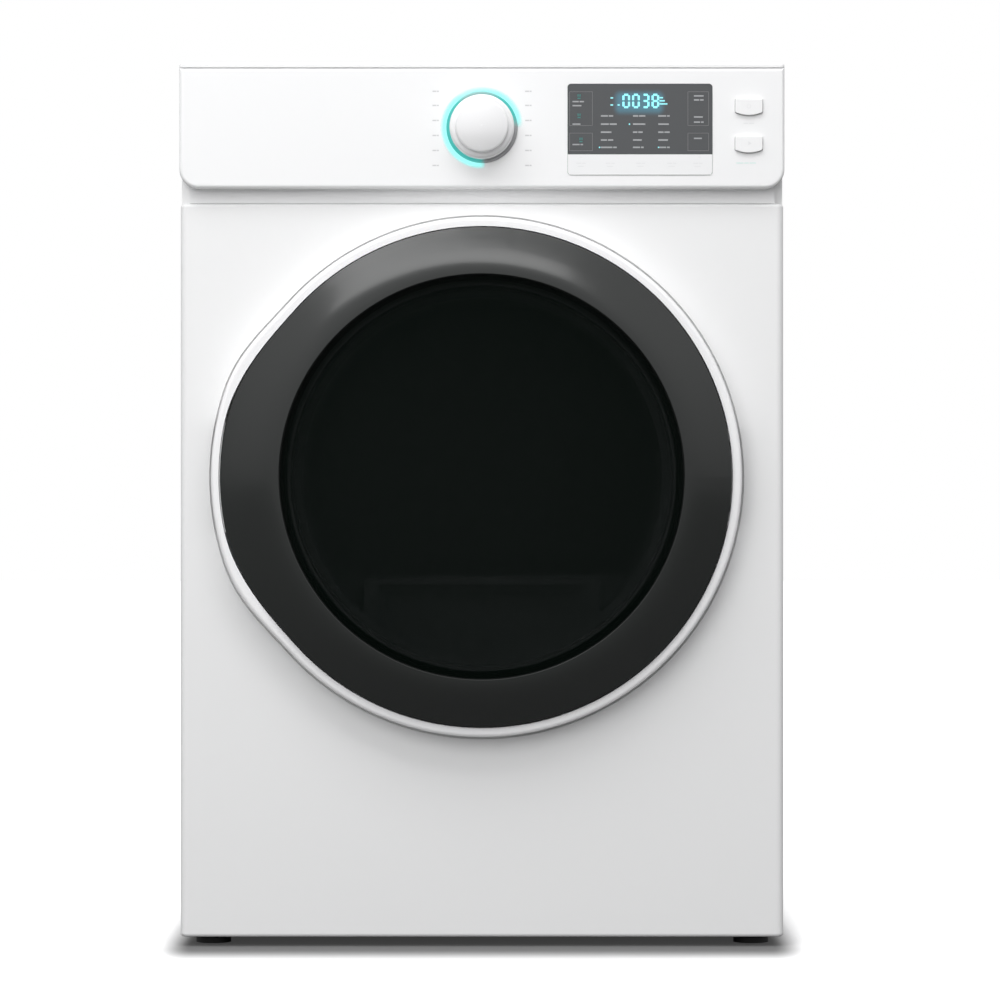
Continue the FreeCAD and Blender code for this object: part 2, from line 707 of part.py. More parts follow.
def door_screws(grow=0.0):
    """Screws that close the door from behind; grow gives the holes for them."""
    screws = []
    for degrees in (30.0, 60.0, 90.0, 120.0, 150.0, 210.0, 240.0, 270.0, 300.0, 330.0):
        place = around(DOOR, 262.0, degrees)
        seat = FACE + DOOR_BACK
        head = disc(3.6, place, (seat, seat + 1.4))
        shank = disc(SCREW_SHANK_R + grow, place, (seat - 6.0 - grow, seat))
        screws.append(head.fuse(shank))
    return group(screws)


def door_catch():
    y = FACE + RECESS_DEPTH + STEEL
    block = box((STRIKE_X - 17.0, STRIKE_X + 13.0), (y, y + 28.0), beside(DOOR[1], 28.0))
    space = box((STRIKE_X - 7.0, STRIKE_X + 5.0), (y - 1.0, y + 24.0), beside(DOOR[1], 16.0))
    return block.cut(space)


def door_switch():
    x, z = SWITCH
    y = FACE + RECESS_DEPTH + STEEL
    back = y + 30.0
    parts = [box(beside(x, 9.0), (y, back), beside(z, 14.0))]
    for blade in (x - 6.0, x + 5.0):
        parts.append(box((blade, blade + 1.0), (back, back + 8.0), beside(z, 3.0)))
    return joined(parts).cut(disc(PLUNGER_R + PLUNGER_FIT, SWITCH, (y - 1.0, y + 22.0)))


def door_switch_plunger():
    return disc(PLUNGER_R, SWITCH, (FACE + DOOR_BACK + 0.4, FACE + 24.0))


def opening_gasket():
    return ring(248.0, 236.0, DOOR, (FACE + DOOR_BACK + SMALL_GAP, FACE + RECESS_DEPTH))


# ---- drum group
def front_bulkhead():
    y = (BULKHEAD_Y, BULKHEAD_Y + BULKHEAD_T)
    z = (BULKHEAD_LOW, BULKHEAD_TOP)
    sheet = rounded((-BULKHEAD_HALF, BULKHEAD_HALF), y, z, 20.0)
    flange = ring(FLANGE_R[1], FLANGE_R[0], DRUM, (y[0], -228.0))
    collar = ring(COLLAR_R[1], COLLAR_R[0], DOOR, (FACE + PANEL_DEPTH + 0.6, y[1]))
    duct_room = box((-140.0, 140.0), (FACE, y[1] + 1.0), (LOADING_FLAT - 222.0, LOADING_FLAT - 1.0))
    parts = [sheet, flange, collar.cut(duct_room)] + ears(BULKHEAD_T, (-300.0, y[1]), inset(z, 25.0))
    through = inset(y, -1.0)
    loading = disc(LOADING_R, DOOR, through)
    loading = loading.cut(box((-LOADING_R, LOADING_R), through, (0.0, LOADING_FLAT)))
    cuts = [loading, disc(LAMP_LENS_R + 0.5, LAMP, through)]
    for k in range(GRILLE_SLOTS):
        x = GRILLE_PITCH * (k - (GRILLE_SLOTS - 1) / 2)
        cuts.append(box(beside(x, 3.5), through, (312.0, 405.0)))
    return joined(parts).cut(group(cuts))


def ears(thick, y, z):
    """Folded sides of a bulkhead."""
    return [box(sorted((side * BULKHEAD_HALF, side * (BULKHEAD_HALF - thick))), y, z) for side in (-1, 1)]


def rear_bulkhead():
    y = (REAR_BULKHEAD_Y, REAR_BULKHEAD_Y + DRUM_T)
    z = (225.0, BULKHEAD_TOP)
    sheet = rounded((-BULKHEAD_HALF, BULKHEAD_HALF), y, z, 20.0)
    flange = ring(FLANGE_R[1], FLANGE_R[0], DRUM, (278.0, y[1]))
    parts = [sheet, flange] + ears(DRUM_T, (y[0], 347.0), inset(z, 25.0))
    cuts = [screw_holes()]
    slot = (8.0, 62.0)
    for k in range(8):
        x = 105.0 + 19.0 * k
        for low in (460.0, 535.0):
            cuts.append(box((x, x + slot[0]), inset(y, -1.0), (low, low + slot[1])))
    return joined(parts).cut(group(cuts))


def drum_felts():
    front = ring(FELT_R[1], FELT_R[0], DRUM, (-250.0, -229.0))
    back = ring(FELT_R[1], FELT_R[0], DRUM, (279.0, 298.0))
    return group([front, back])


def drum_lamp():
    cup = disc(20.0, LAMP, (BULKHEAD_Y - 28.0, BULKHEAD_Y))
    front = BULKHEAD_Y + 8.0
    lens = disc(LAMP_LENS_R, LAMP, (BULKHEAD_Y, front))
    edge = edges_where(lens, lambda b: b.YMin > front - 0.01)
    return joined([cup, lens.makeFillet(4.0, edge)])


def moisture_sensors():
    """Two metal bars that feel the damp laundry."""
    back = BULKHEAD_Y + BULKHEAD_T
    bars = [rounded((-45.0, 45.0), (back, back + 2.5), (z, z + 6.0), 2.5) for z in (280.0, 292.0)]
    return group(bars)


def drum_shell():
    low, high = DRUM_Y
    front, back = (-226.0, -219.0), (257.0, 264.0)
    outer = [(NECK_R, low), (NECK_R, front[0]), (DRUM_R, front[1])]
    outer += [(DRUM_R, back[0]), (NECK_R, back[1]), (NECK_R, high)]
    inner = [(r - DRUM_T, y) for r, y in reversed(outer)]
    return turned(outer + inner, DRUM)


def drum_baffles():
    seat = DRUM_R - DRUM_T - SMALL_GAP
    y = (-196.0, 236.0)
    wall = 3.0
    outer = baffle_block(BAFFLE_HALF, BAFFLE_TALL, y, seat, 10.0)
    inner = baffle_block(BAFFLE_HALF - wall, BAFFLE_TALL - wall, inset(y, 2.5), seat, 7.5)
    vane = outer.cut(inner)
    return group([spun(vane, DRUM, angle) for angle in (10.0, 130.0, 250.0)])


def baffle_block(half, tall, y, seat, nose):
    top = DRUM[1] + seat
    root = top - 8.0
    points = [(-half, top + 5.0), (half, top + 5.0), (half, root)]
    points += [(nose, top - tall), (-nose, top - tall), (-half, root)]
    block = plate(points, y)
    crest = edges_along(block, "y", lambda b: b.ZMax < top - tall + 1.0)
    return block.makeFillet(nose * 0.8, crest).common(disc(seat, DRUM, y))


def roller_place(side):
    distance = NECK_R + ROLLER_R + TOUCH
    a = math.radians(ROLLER_ANGLE)
    return (side * distance * math.sin(a), DRUM[1] - distance * math.cos(a))


def roller(side):
    """Hub, thin web and tyre; the front half's outline is mirrored for the back."""
    bore = ROLLER_SHAFT_R + RUN_FIT
    hub_r, tyre_r = 12.0, 28.0
    low, high = ROLLER_Y
    half = [(bore, -3.0), (hub_r, -3.0), (hub_r, 7.0), (tyre_r, 7.0)]
    half += [(tyre_r, 0.0), (ROLLER_R - 1.0, 0.0), (ROLLER_R, 1.0)]
    outline = [(r, low + y) for r, y in half] + [(r, high - y) for r, y in reversed(half)]
    return turned(outline, roller_place(side))


def roller_shafts():
    shafts = []
    for side in (-1, 1):
        place = roller_place(side)
        tip = ROLLER_Y[0] - 10.0
        pin = disc(ROLLER_SHAFT_R, place, (tip, REAR_BULKHEAD_Y))
        clip = disc(10.0, place, (tip + 2.0, tip + 4.0))
        washer = disc(14.0, place, (REAR_BULKHEAD_Y - 4.0, REAR_BULKHEAD_Y))
        shafts.append(joined([pin, clip, washer]))
    return group(shafts)


# ---- drive
def belt_wire(offset, y):
    """Closed belt line: drum, motor pulley, then the idler on the belt's back."""
    drum = (DRUM, DRUM_R + TOUCH + offset)
    pulley = (MOTOR, PULLEY_R + TOUCH + offset)
    idler = (IDLER, -(IDLER_R + TOUCH + BELT_T - offset))
    wheels = [drum, pulley, idler]
    leave, arrive = [], []
    for i in range(3):
        (c1, r1), (c2, r2) = wheels[i], wheels[(i + 1) % 3]
        dx, dz = c2[0] - c1[0], c2[1] - c1[1]
        normal = math.atan2(dz, dx) - math.acos((r1 - r2) / math.hypot(dx, dz))
        leave.append((c1[0] + r1 * math.cos(normal), c1[1] + r1 * math.sin(normal), normal))
        arrive.append((c2[0] + r2 * math.cos(normal), c2[1] + r2 * math.sin(normal), normal))
    edges = []
    for i in range(3):
        centre, radius = wheels[i]
        start, end = arrive[i - 1], leave[i]
        a, b = start[2], end[2]
        while radius > 0 and b < a:
            b += 2 * math.pi
        while radius < 0 and b > a:
            b -= 2 * math.pi
        middle = (a + b) / 2
        mid = V(centre[0] + radius * math.cos(middle), y, centre[1] + radius * math.sin(middle))
        p, q = V(start[0], y, start[1]), V(end[0], y, end[1])
        edges.append(Part.Arc(p, mid, q).toShape())
        edges.append(Part.makeLine(q, V(arrive[i][0], y, arrive[i][1])))
    return Part.Wire(edges)


def drum_belt():
    depth = V(0, BELT_Y[1] - BELT_Y[0], 0)
    outer = Part.Face(belt_wire(BELT_T, BELT_Y[0])).extrude(depth)
    inner = Part.Face(belt_wire(0.0, BELT_Y[0])).extrude(depth)
    return outer.cut(inner)


def motor():
    """Hollow body round a core, on a sole plate that also carries the idler's post."""
    x, z = MOTOR
    low, high = MOTOR_Y
    floor = FLOOR_Z + FLOOR_T
    cap_r, cap_reach = MOTOR_R - 8.0, 8.0
    parts = [disc(MOTOR_R, MOTOR, MOTOR_Y)]
    for radius, reach in ((cap_r, cap_reach), (18.0, 14.0)):
        parts.append(disc(radius, MOTOR, (low - reach, high + reach)))
    room = disc(MOTOR_R - MOTOR_WALL, MOTOR, inset(MOTOR_Y, MOTOR_WALL))
    room = room.fuse(disc(cap_r - MOTOR_WALL, MOTOR, inset(MOTOR_Y, MOTOR_WALL - cap_reach)))
    room = room.cut(ring(MOTOR_R, ROTOR_R + 1.0, MOTOR, CORE_Y))
    parts.append(box((x - 62.0, x + 90.0), (low - 10.0, 18.0), (floor, floor + 2.5)))
    for at in (low + 6.0, high - 10.0):
        parts.append(box(beside(x, 50.0), (at, at + 3.0), (floor, z)))
    post_top = IDLER_PIVOT[1] + 11.0
    parts.append(box(beside(IDLER_PIVOT[0], 11.0), (14.0, 17.0), (floor, post_top)))
    parts.append(disc(IDLER_PIN_R, IDLER_PIVOT, (2.0, 14.0)))
    parts.append(box(beside(SPRING_X, 7.0), (2.0, 15.0), (floor, floor + SPRING_SEAT)))
    vent = box((x + 30.0, x + 50.0), (high + 2.0, high + 9.0), beside(z, 4.0))
    cuts = [spun(vent, MOTOR, 45.0 * k) for k in range(8)]
    cuts.append(disc(SHAFT_R + RUN_FIT, MOTOR, (low - 20.0, high + 20.0)))
    return joined(parts).cut(room).cut(group(cuts))


def motor_shaft():
    """Shaft with the rotor and the belt pulley."""
    parts = [disc(SHAFT_R, MOTOR, (-256.0, 6.0)), disc(ROTOR_R, MOTOR, CORE_Y)]
    parts.append(disc(PULLEY_R, MOTOR, (-22.0, 4.0)))
    for span in ((-24.0, -22.0), (1.0, 4.0)):
        parts.append(disc(PULLEY_R + 4.0, MOTOR, span))
    return joined(parts)


def blower_wheel():
    x, z = MOTOR
    low, high = WHEEL_Y
    eye = 66.0
    hub = disc(14.0, MOTOR, (low + 10.0, high))
    back = disc(WHEEL_R, MOTOR, (high - 2.0, high))
    front = ring(WHEEL_R, eye, MOTOR, (low, low + 2.0))
    parts = [hub, back, front]
    for k in range(BLADES):
        blade = box((x + eye + 0.5, x + WHEEL_R - 0.5), inset(WHEEL_Y, 1.0), beside(z, 0.8))
        blade.rotate(V(x + (eye + WHEEL_R) / 2, 0, z), V(0, 1, 0), 30)
        parts.append(spun(blade, MOTOR, 360.0 * k / BLADES))
    return joined(parts).cut(disc(SHAFT_R, MOTOR, (low - 10.0, high + 20.0)))


def blower_housing():
    outer = housing_block(0.0)
    inner = housing_block(2.0)
    front, back = inset_ends(BLOWER_Y)
    holes = [disc(INTAKE_R, MOTOR, front), disc(SHAFT_R + 3.0, MOTOR, back)]
    holes.append(disc(EXHAUST_R - EXHAUST_T, EXHAUST, back))
    return outer.removeSplitter().cut(inner).cut(group(holes))


def housing_block(wall):
    """Round blower case with a straight outlet, drawn in by its wall for the inside."""
    y = inset(BLOWER_Y, wall)
    outlet = box((MOTOR[0], HOUSING_X - wall), y, inset(HOUSING_Z, wall))
    return disc(BLOWER_R - wall, MOTOR, y).fuse(outlet)


def inset_ends(y):
    """Short spans through the front and the back wall of a case."""
    return (y[0] - 1.0, y[0] + 3.0), (y[1] - 3.0, y[1] + 1.0)


def idler_arm():
    """Flat arm from the pivot to the pulley's pin, with a tail over the spring."""
    y = (7.0, 10.0)
    half = 9.0
    px, pz = IDLER_PIVOT
    ix, iz = IDLER
    dx, dz = ix - px, iz - pz
    length = math.hypot(dx, dz)
    nx, nz = -dz / length * half, dx / length * half
    strap = [(px - nx, pz - nz), (ix - nx, iz - nz), (ix + nx, iz + nz), (px + nx, pz + nz)]
    tail_x = SPRING_X + 7.0
    tail = [(px, pz - 6.0), (tail_x, pz - 10.0), (tail_x, pz - 7.0), (px, pz + 8.0)]
    arm = [disc(half, IDLER_PIVOT, y), disc(half, IDLER, y), plate(strap, y), plate(tail, y)]
    arm.append(box(beside(SPRING_X, 7.0), (2.5, 13.5), (pz - 10.5, pz - 7.0)))
    arm.append(disc(IDLER_PIN_R, IDLER, (-19.0, y[0])))
    arm.append(disc(IDLER_PIN_R + 3.0, IDLER, (1.0, y[0])))
    return joined(arm).cut(disc(IDLER_PIN_R + RUN_FIT, IDLER_PIVOT, (0.0, 20.0)))


def idler_pulley():
    bore = IDLER_PIN_R + RUN_FIT
    rim = IDLER_R + 2.5
    outline = [(bore, -17.0), (rim, -17.0), (rim, -15.0), (IDLER_R, -14.0)]
    outline += [(IDLER_R, -2.0), (rim, -1.0), (rim, 0.6), (bore, 0.6)]
    return turned(outline, IDLER)


def idler_spring():
    low = FLOOR_Z + FLOOR_T + SPRING_SEAT
    high = IDLER_PIVOT[1] - 10.5
    wire_r = 0.9
    coil_r = 5.0
    turns = 5
    rise = high - low - 2 * wire_r
    helix = Part.makeHelix(rise / turns, rise, coil_r)
    helix.translate(V(SPRING_X, SPRING_Y, low + wire_r))
    start = V(SPRING_X + coil_r, SPRING_Y, low + wire_r)
    section = Part.Wire(Part.Circle(start, V(0, 1, 0), wire_r).toShape())
    return Part.Wire(helix).makePipeShell([section], True, True)


# ---- air path
def offset_outline(points, inset):
    face = Part.Face(Part.makePolygon([V(x, 0, z) for x, z in points + points[:1]]))
    return face.makeOffset2D(-inset)


def lint_duct():
    y = DUCT_Y
    top = DUCT_OUTLINE[0][1]
    outer = plate(DUCT_OUTLINE, y)
    inner = offset_outline(DUCT_OUTLINE, DUCT_WALL)
    inner.translate(V(0, y[0] + DUCT_WALL, 0))
    body = outer.cut(inner.extrude(V(0, y[1] - y[0] - 2 * DUCT_WALL, 0)))
    divider = box((-2.5, 2.5), (y[0] - 2.0, y[0]), (322.0, 376.0))
    body = joined([body, divider])
    front, back = inset_ends(y)
    filter_mouth = box(beside(0.0, FILTER_X + 4.0), inset(FILTER_Y, -3.0), (top - 8.0, top + 2.0))
    grille = box(beside(0.0, 118.0), front, (380.0, top - 7.0))
    from_drum = box(beside(0.0, 110.0), back, (308.0, 408.0))
    return body.cut(group([filter_mouth, grille, from_drum, disc(INTAKE_R, MOTOR, back)]))


def lint_filter():
    """Frame with a handle on top, three bars and a fine screen."""
    x = (-FILTER_X, FILTER_X)
    y = FILTER_Y
    z = FILTER_Z
    opening = rounded(inset(x, 9.0), inset(y, -1.0), (z[0] + 9.0, z[1] - 14.0), 4.0)
    parts = [rounded(x, y, z, 8.0).cut(opening)]
    middle = (y[0] + y[1]) / 2
    parts.append(box(inset(x, 5.0), beside(middle, 0.5), inset(z, 5.0)))
    parts.append(box((-45.0, 45.0), y, (z[1] - 6.0, z[1] + 4.0)))
    for at in (-60.0, 0.0, 60.0):
        parts.append(box(beside(at, 1.2), beside(middle, 3.0), inset(z, 5.0)))
    return joined(parts)


def heater_housing():
    """Open-ended tube that leads into a riser behind the drum."""
    riser_z = (HEATER_Z[0], RISER_TOP)
    outer = joined([box(HEATER_X, HEATER_Y, HEATER_Z), box(HEATER_X, RISER_Y, riser_z)])
    x = inset(HEATER_X, STEEL)
    tube = box(x, (HEATER_Y[0] - 1.0, RISER_Y[0] + 1.0), inset(HEATER_Z, STEEL))
    riser = box(x, inset(RISER_Y, STEEL), inset(riser_z, STEEL))
    outlet = box((100.0, 256.0), (RISER_Y[0] - 1.0, RISER_Y[0] + 2.0), (452.0, 605.0))
    parts = [outer.cut(tube).cut(riser).cut(outlet)]
    leg_z = (FLOOR_Z + FLOOR_T, HEATER_Z[0])
    for left in (100.0, 240.0):
        for front in (-80.0, 220.0):
            parts.append(box((left, left + 20.0), (front, front + 20.0), leg_z))
    return joined(parts)


def heater_coil():
    """Sheathed element: straight passes joined by half turns, on an end plate."""
    z = (HEATER_Z[0] + HEATER_Z[1]) / 2
    pitch = 40.0
    first = (HEATER_X[0] + HEATER_X[1]) / 2 - pitch * (ROD_PASSES - 1) / 2
    y = (-40.0, 210.0)
    up = V(0, 0, 1)
    parts = []
    for level in (z - 25.0, z + 25.0):
        for k in range(ROD_PASSES):
            reach = 30.0 if k in (0, ROD_PASSES - 1) else 0.0
            parts.append(disc(ROD_R, (first + pitch * k, level), (y[0] - reach, y[1])))
        for k in range(ROD_PASSES - 1):
            end, turn = (y[1], 0.0) if k % 2 == 0 else (y[0], 180.0)
            centre = V(first + pitch * (k + 0.5), end, level)
            bend = Part.makeTorus(pitch / 2, ROD_R, centre, up, -180, 180, 180)
            bend.rotate(centre, up, turn)
            parts.append(bend)
    parts.append(box(inset(HEATER_X, 2.0), (y[0] - 24.0, y[0] - 22.0), beside(z, 36.0)))
    return joined(parts)


def thermostats():
    """Three cutouts on top of the heater's tube."""
    seat = HEATER_Z[1]
    top = seat + 12.0
    y = 60.0
    cans = []
    for x in (130.0, 180.0, 230.0):
        parts = [post(12.0, x, y, (seat, top))]
        parts.append(box(beside(x, 18.0), beside(y, 5.0), (seat, seat + 1.5)))
        for blade in (x - 6.0, x + 5.0):
            parts.append(box((blade, blade + 1.0), beside(y, 3.0), (top, top + 8.0)))
        cans.append(joined(parts))
    return group(cans)


def exhaust_pipe():
    inner = EXHAUST_R - EXHAUST_T
    tube = ring(EXHAUST_R, inner, EXHAUST, (BLOWER_Y[1], EXHAUST_END))
    return joined([tube, ring(BEAD_R, inner, EXHAUST, BEAD_Y)])


def terminal_block():
    """Block with three studs on a tray behind the opening in the rear panel."""
    x, z = TERMINAL
    wall = BACK - REAR_T
    tray_x = beside(x, 60.0)
    parts = [box(beside(x, 42.0), (wall - 24.0, wall - 4.0), beside(z, 18.0))]
    parts.append(box(tray_x, (wall - 26.0, wall - 24.0), beside(z, 42.0)))
    for side in (-1, 1):
        parts.append(box(tray_x, (wall - 26.0, wall), sorted((z + side * 42.0, z + side * 40.5))))
    for at in (x - 26.0, x, x + 26.0):
        parts.append(disc(4.0, (at, z), (wall - 4.0, wall + 2.0)))
        parts.append(disc(7.0, (at, z), (wall - 4.0, wall - 1.0)))
    return joined(parts)


def terminal_cover():
    """Folded box with a flange above and below; the cord hole is in its underside."""
    x, z = TERMINAL
    wall = 1.5
    half_x, half_z = TERMINAL_HALF
    cover_x, cover_z = beside(x, half_x), beside(z, half_z)
    cover = box(cover_x, (BACK, BACK + TERMINAL_DEPTH), cover_z)
    space = box(inset(cover_x, wall), (BACK - 1.0, BACK + TERMINAL_DEPTH - wall), inset(cover_z, wall))
    through = (BACK - 1.0, BACK + 2.0)
    flange = box(cover_x, (BACK, BACK + wall), inset(cover_z, -12.0))
    flange = flange.cut(box(inset(cover_x, 2.0), through, inset(cover_z, 1.0)))
    flange = flange.cut(box(beside(x, 20.0), through, (cover_z[0] - 16.0, cover_z[0])))
    entry = post(CORD_HOLE_R, x, BACK + TERMINAL_DEPTH / 2, (cover_z[0] - 6.0, cover_z[0] + 14.0))
    return joined([cover.cut(space), flange]).cut(entry)


# ---- write every part
save("base_pan", base_pan())
save("left_side_panel", side_panel(-1))
save("right_side_panel", side_panel(1))
save("rear_panel", rear_panel())
save("top_cover", top_cover())
save("front_panel", front_panel())
save("cabinet_screws", cabinet_screws())
save("foot_front_left", foot(-FOOT_X, FOOT_Y[0]))
save("foot_front_right", foot(FOOT_X, FOOT_Y[0]))
save("foot_rear_left", foot(-FOOT_X, FOOT_Y[1]))
save("foot_rear_right", foot(FOOT_X, FOOT_Y[1]))

save("console_fascia", console_fascia())
save("display_window", display_window())
save("touch_key_strip", touch_key_strip())
save("knob_light_ring", knob_light_ring())
save("ui_board", ui_board())
save("control_board", control_board())
save("selector_knob", selector_knob())
save("power_button", push_button(BUTTON_Z[0]))
save("start_button", push_button(BUTTON_Z[1]))

save("door_trim_ring", door_trim_ring())
save("door_cover", door_cover())
save("door_window", door_window())
save("door_inner_frame", door_inner_frame())
save("door_inner_glass", door_inner_glass())
save("door_grip", door_grip())
save("door_strike", door_strike())
save("hinge_leaf", hinge_leaf())
save("hinge_bracket", hinge_bracket())
save("door_screws", door_screws())
save("door_catch", door_catch())
save("door_switch", door_switch())
save("door_switch_plunger", door_switch_plunger())
save("opening_gasket", opening_gasket())

save("front_bulkhead", front_bulkhead())
save("rear_bulkhead", rear_bulkhead())
save("drum_felts", drum_felts())
save("drum_lamp", drum_lamp())
save("moisture_sensors", moisture_sensors())
save("drum_shell", drum_shell())
save("drum_baffles", drum_baffles())
save("roller_left", roller(-1))
save("roller_right", roller(1))
save("roller_shafts", roller_shafts())

save("drum_belt", drum_belt())
save("motor", motor())
save("motor_shaft", motor_shaft())
save("blower_wheel", blower_wheel())
save("blower_housing", blower_housing())
save("idler_arm", idler_arm())
save("idler_pulley", idler_pulley())
save("idler_spring", idler_spring())

save("lint_duct", lint_duct())
save("lint_filter", lint_filter())
save("heater_housing", heater_housing())
save("heater_coil", heater_coil())
save("thermostats", thermostats())
save("exhaust_pipe", exhaust_pipe())
save("terminal_block", terminal_block())
save("terminal_cover", terminal_cover())
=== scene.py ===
# %% [markdown]
# # A front-loading clothes dryer
# The machine's pieces come from its imported CAD model. This lesson loads them as a fixed frame,
# gives every piece a finish made of shader nodes, and adds the small things that CAD leaves out:
# printed marks, lit digits and screws.
# The frame is never moved. A new piece rides on one of its bodies, so it follows the joints.

# %% Load the frame
import math

import bmesh
import bpy
from mathutils import Matrix, Vector


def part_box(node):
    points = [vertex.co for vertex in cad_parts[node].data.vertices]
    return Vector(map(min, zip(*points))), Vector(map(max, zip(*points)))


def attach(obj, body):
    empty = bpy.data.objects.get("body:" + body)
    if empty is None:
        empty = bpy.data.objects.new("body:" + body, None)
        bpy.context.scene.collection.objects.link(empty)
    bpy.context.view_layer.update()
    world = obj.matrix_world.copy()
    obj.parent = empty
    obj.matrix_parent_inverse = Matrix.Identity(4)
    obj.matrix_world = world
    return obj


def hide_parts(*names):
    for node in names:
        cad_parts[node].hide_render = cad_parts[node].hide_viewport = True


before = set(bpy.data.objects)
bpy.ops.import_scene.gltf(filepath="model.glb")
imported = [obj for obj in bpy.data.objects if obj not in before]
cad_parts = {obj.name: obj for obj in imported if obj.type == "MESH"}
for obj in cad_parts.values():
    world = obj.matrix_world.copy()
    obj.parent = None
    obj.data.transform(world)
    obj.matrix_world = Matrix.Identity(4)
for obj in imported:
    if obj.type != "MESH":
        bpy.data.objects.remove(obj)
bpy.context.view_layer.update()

# %% [markdown]
# ## Places to hang things on
# Every position below starts from a piece of the frame.

# %% Places
MM = 0.001


def middle(name):
    low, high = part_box(name)
    return (low + high) / 2


CONSOLE_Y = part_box("console_fascia")[0].y
KNOB = middle("selector_knob")
DOOR = middle("door_window")
DRUM = middle("drum_shell")
print("knob at", [round(v, 3) for v in KNOB], "door at", [round(v, 3) for v in DOOR])

# %% [markdown]
# ## Turning a bmesh into a piece
# A bmesh is Blender's editable mesh. When a shape is done it becomes an object that sits at the
# origin, with its place in its vertices, as the CAD pieces do. The helper merges doubles, turns the
# faces outwards, marks edges sharper than 35 degrees, and lets the piece ride on its body.

# %% Piece helper
SHARP = math.radians(35)


def finish_piece(bm, name, body, material):
    bmesh.ops.remove_doubles(bm, verts=bm.verts, dist=0.002 * MM)
    bmesh.ops.recalc_face_normals(bm, faces=bm.faces)
    mesh = bpy.data.meshes.new(name)
    bm.to_mesh(mesh)
    bm.free()
    mesh.materials.append(material)
    mesh.polygons.foreach_set("use_smooth", [True] * len(mesh.polygons))
    mesh.set_sharp_from_angle(angle=SHARP)
    obj = bpy.data.objects.new(name, mesh)
    bpy.context.scene.collection.objects.link(obj)
    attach(obj, body)
    print(name, "faces", len(mesh.polygons))
    return obj


# %% [markdown]
# ## Three building moves
# Most small pieces are blocks, discs or turned shapes. A block starts from `create_cube`, a disc from
# `create_cone`, and a turned shape from a short profile that `spin` carries once round an axis.

# %% Block, disc and lathe
def add_block(bm, low, high, round_by=0.0, segments=2):
    low, high = Vector(low), Vector(high)
    size = high - low
    place = Matrix.Translation((low + high) / 2) @ Matrix.Diagonal((size.x, size.y, size.z, 1.0))
    made = bmesh.ops.create_cube(bm, size=1.0, matrix=place)
    if round_by:
        edges = list({e for v in made["verts"] for e in v.link_edges})
        bmesh.ops.bevel(bm, geom=edges, offset=round_by, offset_type="OFFSET", segments=segments,
                        profile=0.5, affect="EDGES", material=-1)
    return made["verts"]


def add_disc(bm, centre, radius, depth, sides=32, front_radius=None):
    """A disc along Y whose front, towards -Y, is at centre."""
    turn = Matrix.Rotation(math.radians(90), 4, "X")
    place = Matrix.Translation(Vector(centre) + Vector((0, depth / 2, 0))) @ turn
    tip = radius if front_radius is None else front_radius
    bmesh.ops.create_cone(bm, cap_ends=True, cap_tris=False, segments=sides,
                          radius1=radius, radius2=tip, depth=depth, matrix=place)


def add_lathe(bm, profile, centre, steps=96):
    """profile is a list of (radius, y); it turns about the line along Y through centre."""
    points = [bm.verts.new((centre[0] + r, y, centre[2])) for r, y in profile]
    edges = [bm.edges.new(pair) for pair in zip(points, points[1:])]
    bmesh.ops.spin(bm, geom=points + edges, cent=centre, axis=(0, 1, 0), dvec=(0, 0, 0),
                   angle=2 * math.pi, steps=steps, use_merge=True, use_duplicate=False)


# %% [markdown]
# ## Shader helpers
# A finish is a small tree of nodes that ends in one Principled BSDF. These helpers keep the trees
# short: they add a node and set it up, start a material, mix colours and do sums. Numbers that are the same
# all over the surface are set straight on the shader's sockets.

# %% Node helpers
def add_node(tree, kind, inputs=None, **settings):
    made = tree.nodes.new(kind)
    for name, value in settings.items():
        setattr(made, name, value)
    for name, value in (inputs or {}).items():
        if isinstance(value, bpy.types.NodeSocket):
            tree.links.new(value, made.inputs[name])
        else:
            made.inputs[name].default_value = value
    return made


def start_material(name, **sockets):
    material = bpy.data.materials.new(name)
    material.use_nodes = True
    tree = material.node_tree
    shader = tree.nodes["Principled BSDF"]
    for socket, value in sockets.items():
        shader.inputs[socket.replace("_", " ")].default_value = value
    return material, tree, shader


def object_coords(tree, scale=(1, 1, 1), centre=(0, 0, 0)):
    coords = add_node(tree, "ShaderNodeTexCoord")
    mapping = add_node(tree, "ShaderNodeMapping", {"Vector": coords.outputs["Object"]}, vector_type="POINT")
    mapping.inputs["Scale"].default_value = scale
    mapping.inputs["Location"].default_value = [-c * s for c, s in zip(centre, scale)]
    return mapping.outputs["Vector"]


def blend_colours(tree, factor, first, second):
    mix = add_node(tree, "ShaderNodeMix", data_type="RGBA")
    tree.links.new(factor, mix.inputs["Factor"])
    for socket, value in ((mix.inputs[6], first), (mix.inputs[7], second)):
        if isinstance(value, bpy.types.NodeSocket):
            tree.links.new(value, socket)
        else:
            socket.default_value = (*value, 1.0)
    return mix.outputs[2]


def maths(tree, operation, first, second=0.0):
    return add_node(tree, "ShaderNodeMath", {0: first, 1: second}, operation=operation).outputs["Value"]


def vector_maths(tree, operation, first, second=(0.0, 0.0, 0.0), out="Vector"):
    return add_node(tree, "ShaderNodeVectorMath", {0: first, 1: second}, operation=operation).outputs[out]


def spread(tree, value, low, high):
    mapped = add_node(tree, "ShaderNodeMapRange", {"Value": value, "To Min": low, "To Max": high})
    return mapped.outputs["Result"]


def bump(tree, shader, height, strength, distance):
    node = add_node(tree, "ShaderNodeBump", {"Height": height, "Strength": strength, "Distance": distance})
    tree.links.new(node.outputs["Normal"], shader.inputs["Normal"])


# %% [markdown]
# ## Shared effect: fine relief
# Paint dries with a faint orange peel and moulded plastic copies the fine grain of its mould. Both are
# noise, at different sizes. The group puts out the relief's height and a slow, large mask that
# varies gloss from place to place, as handling and polish do.

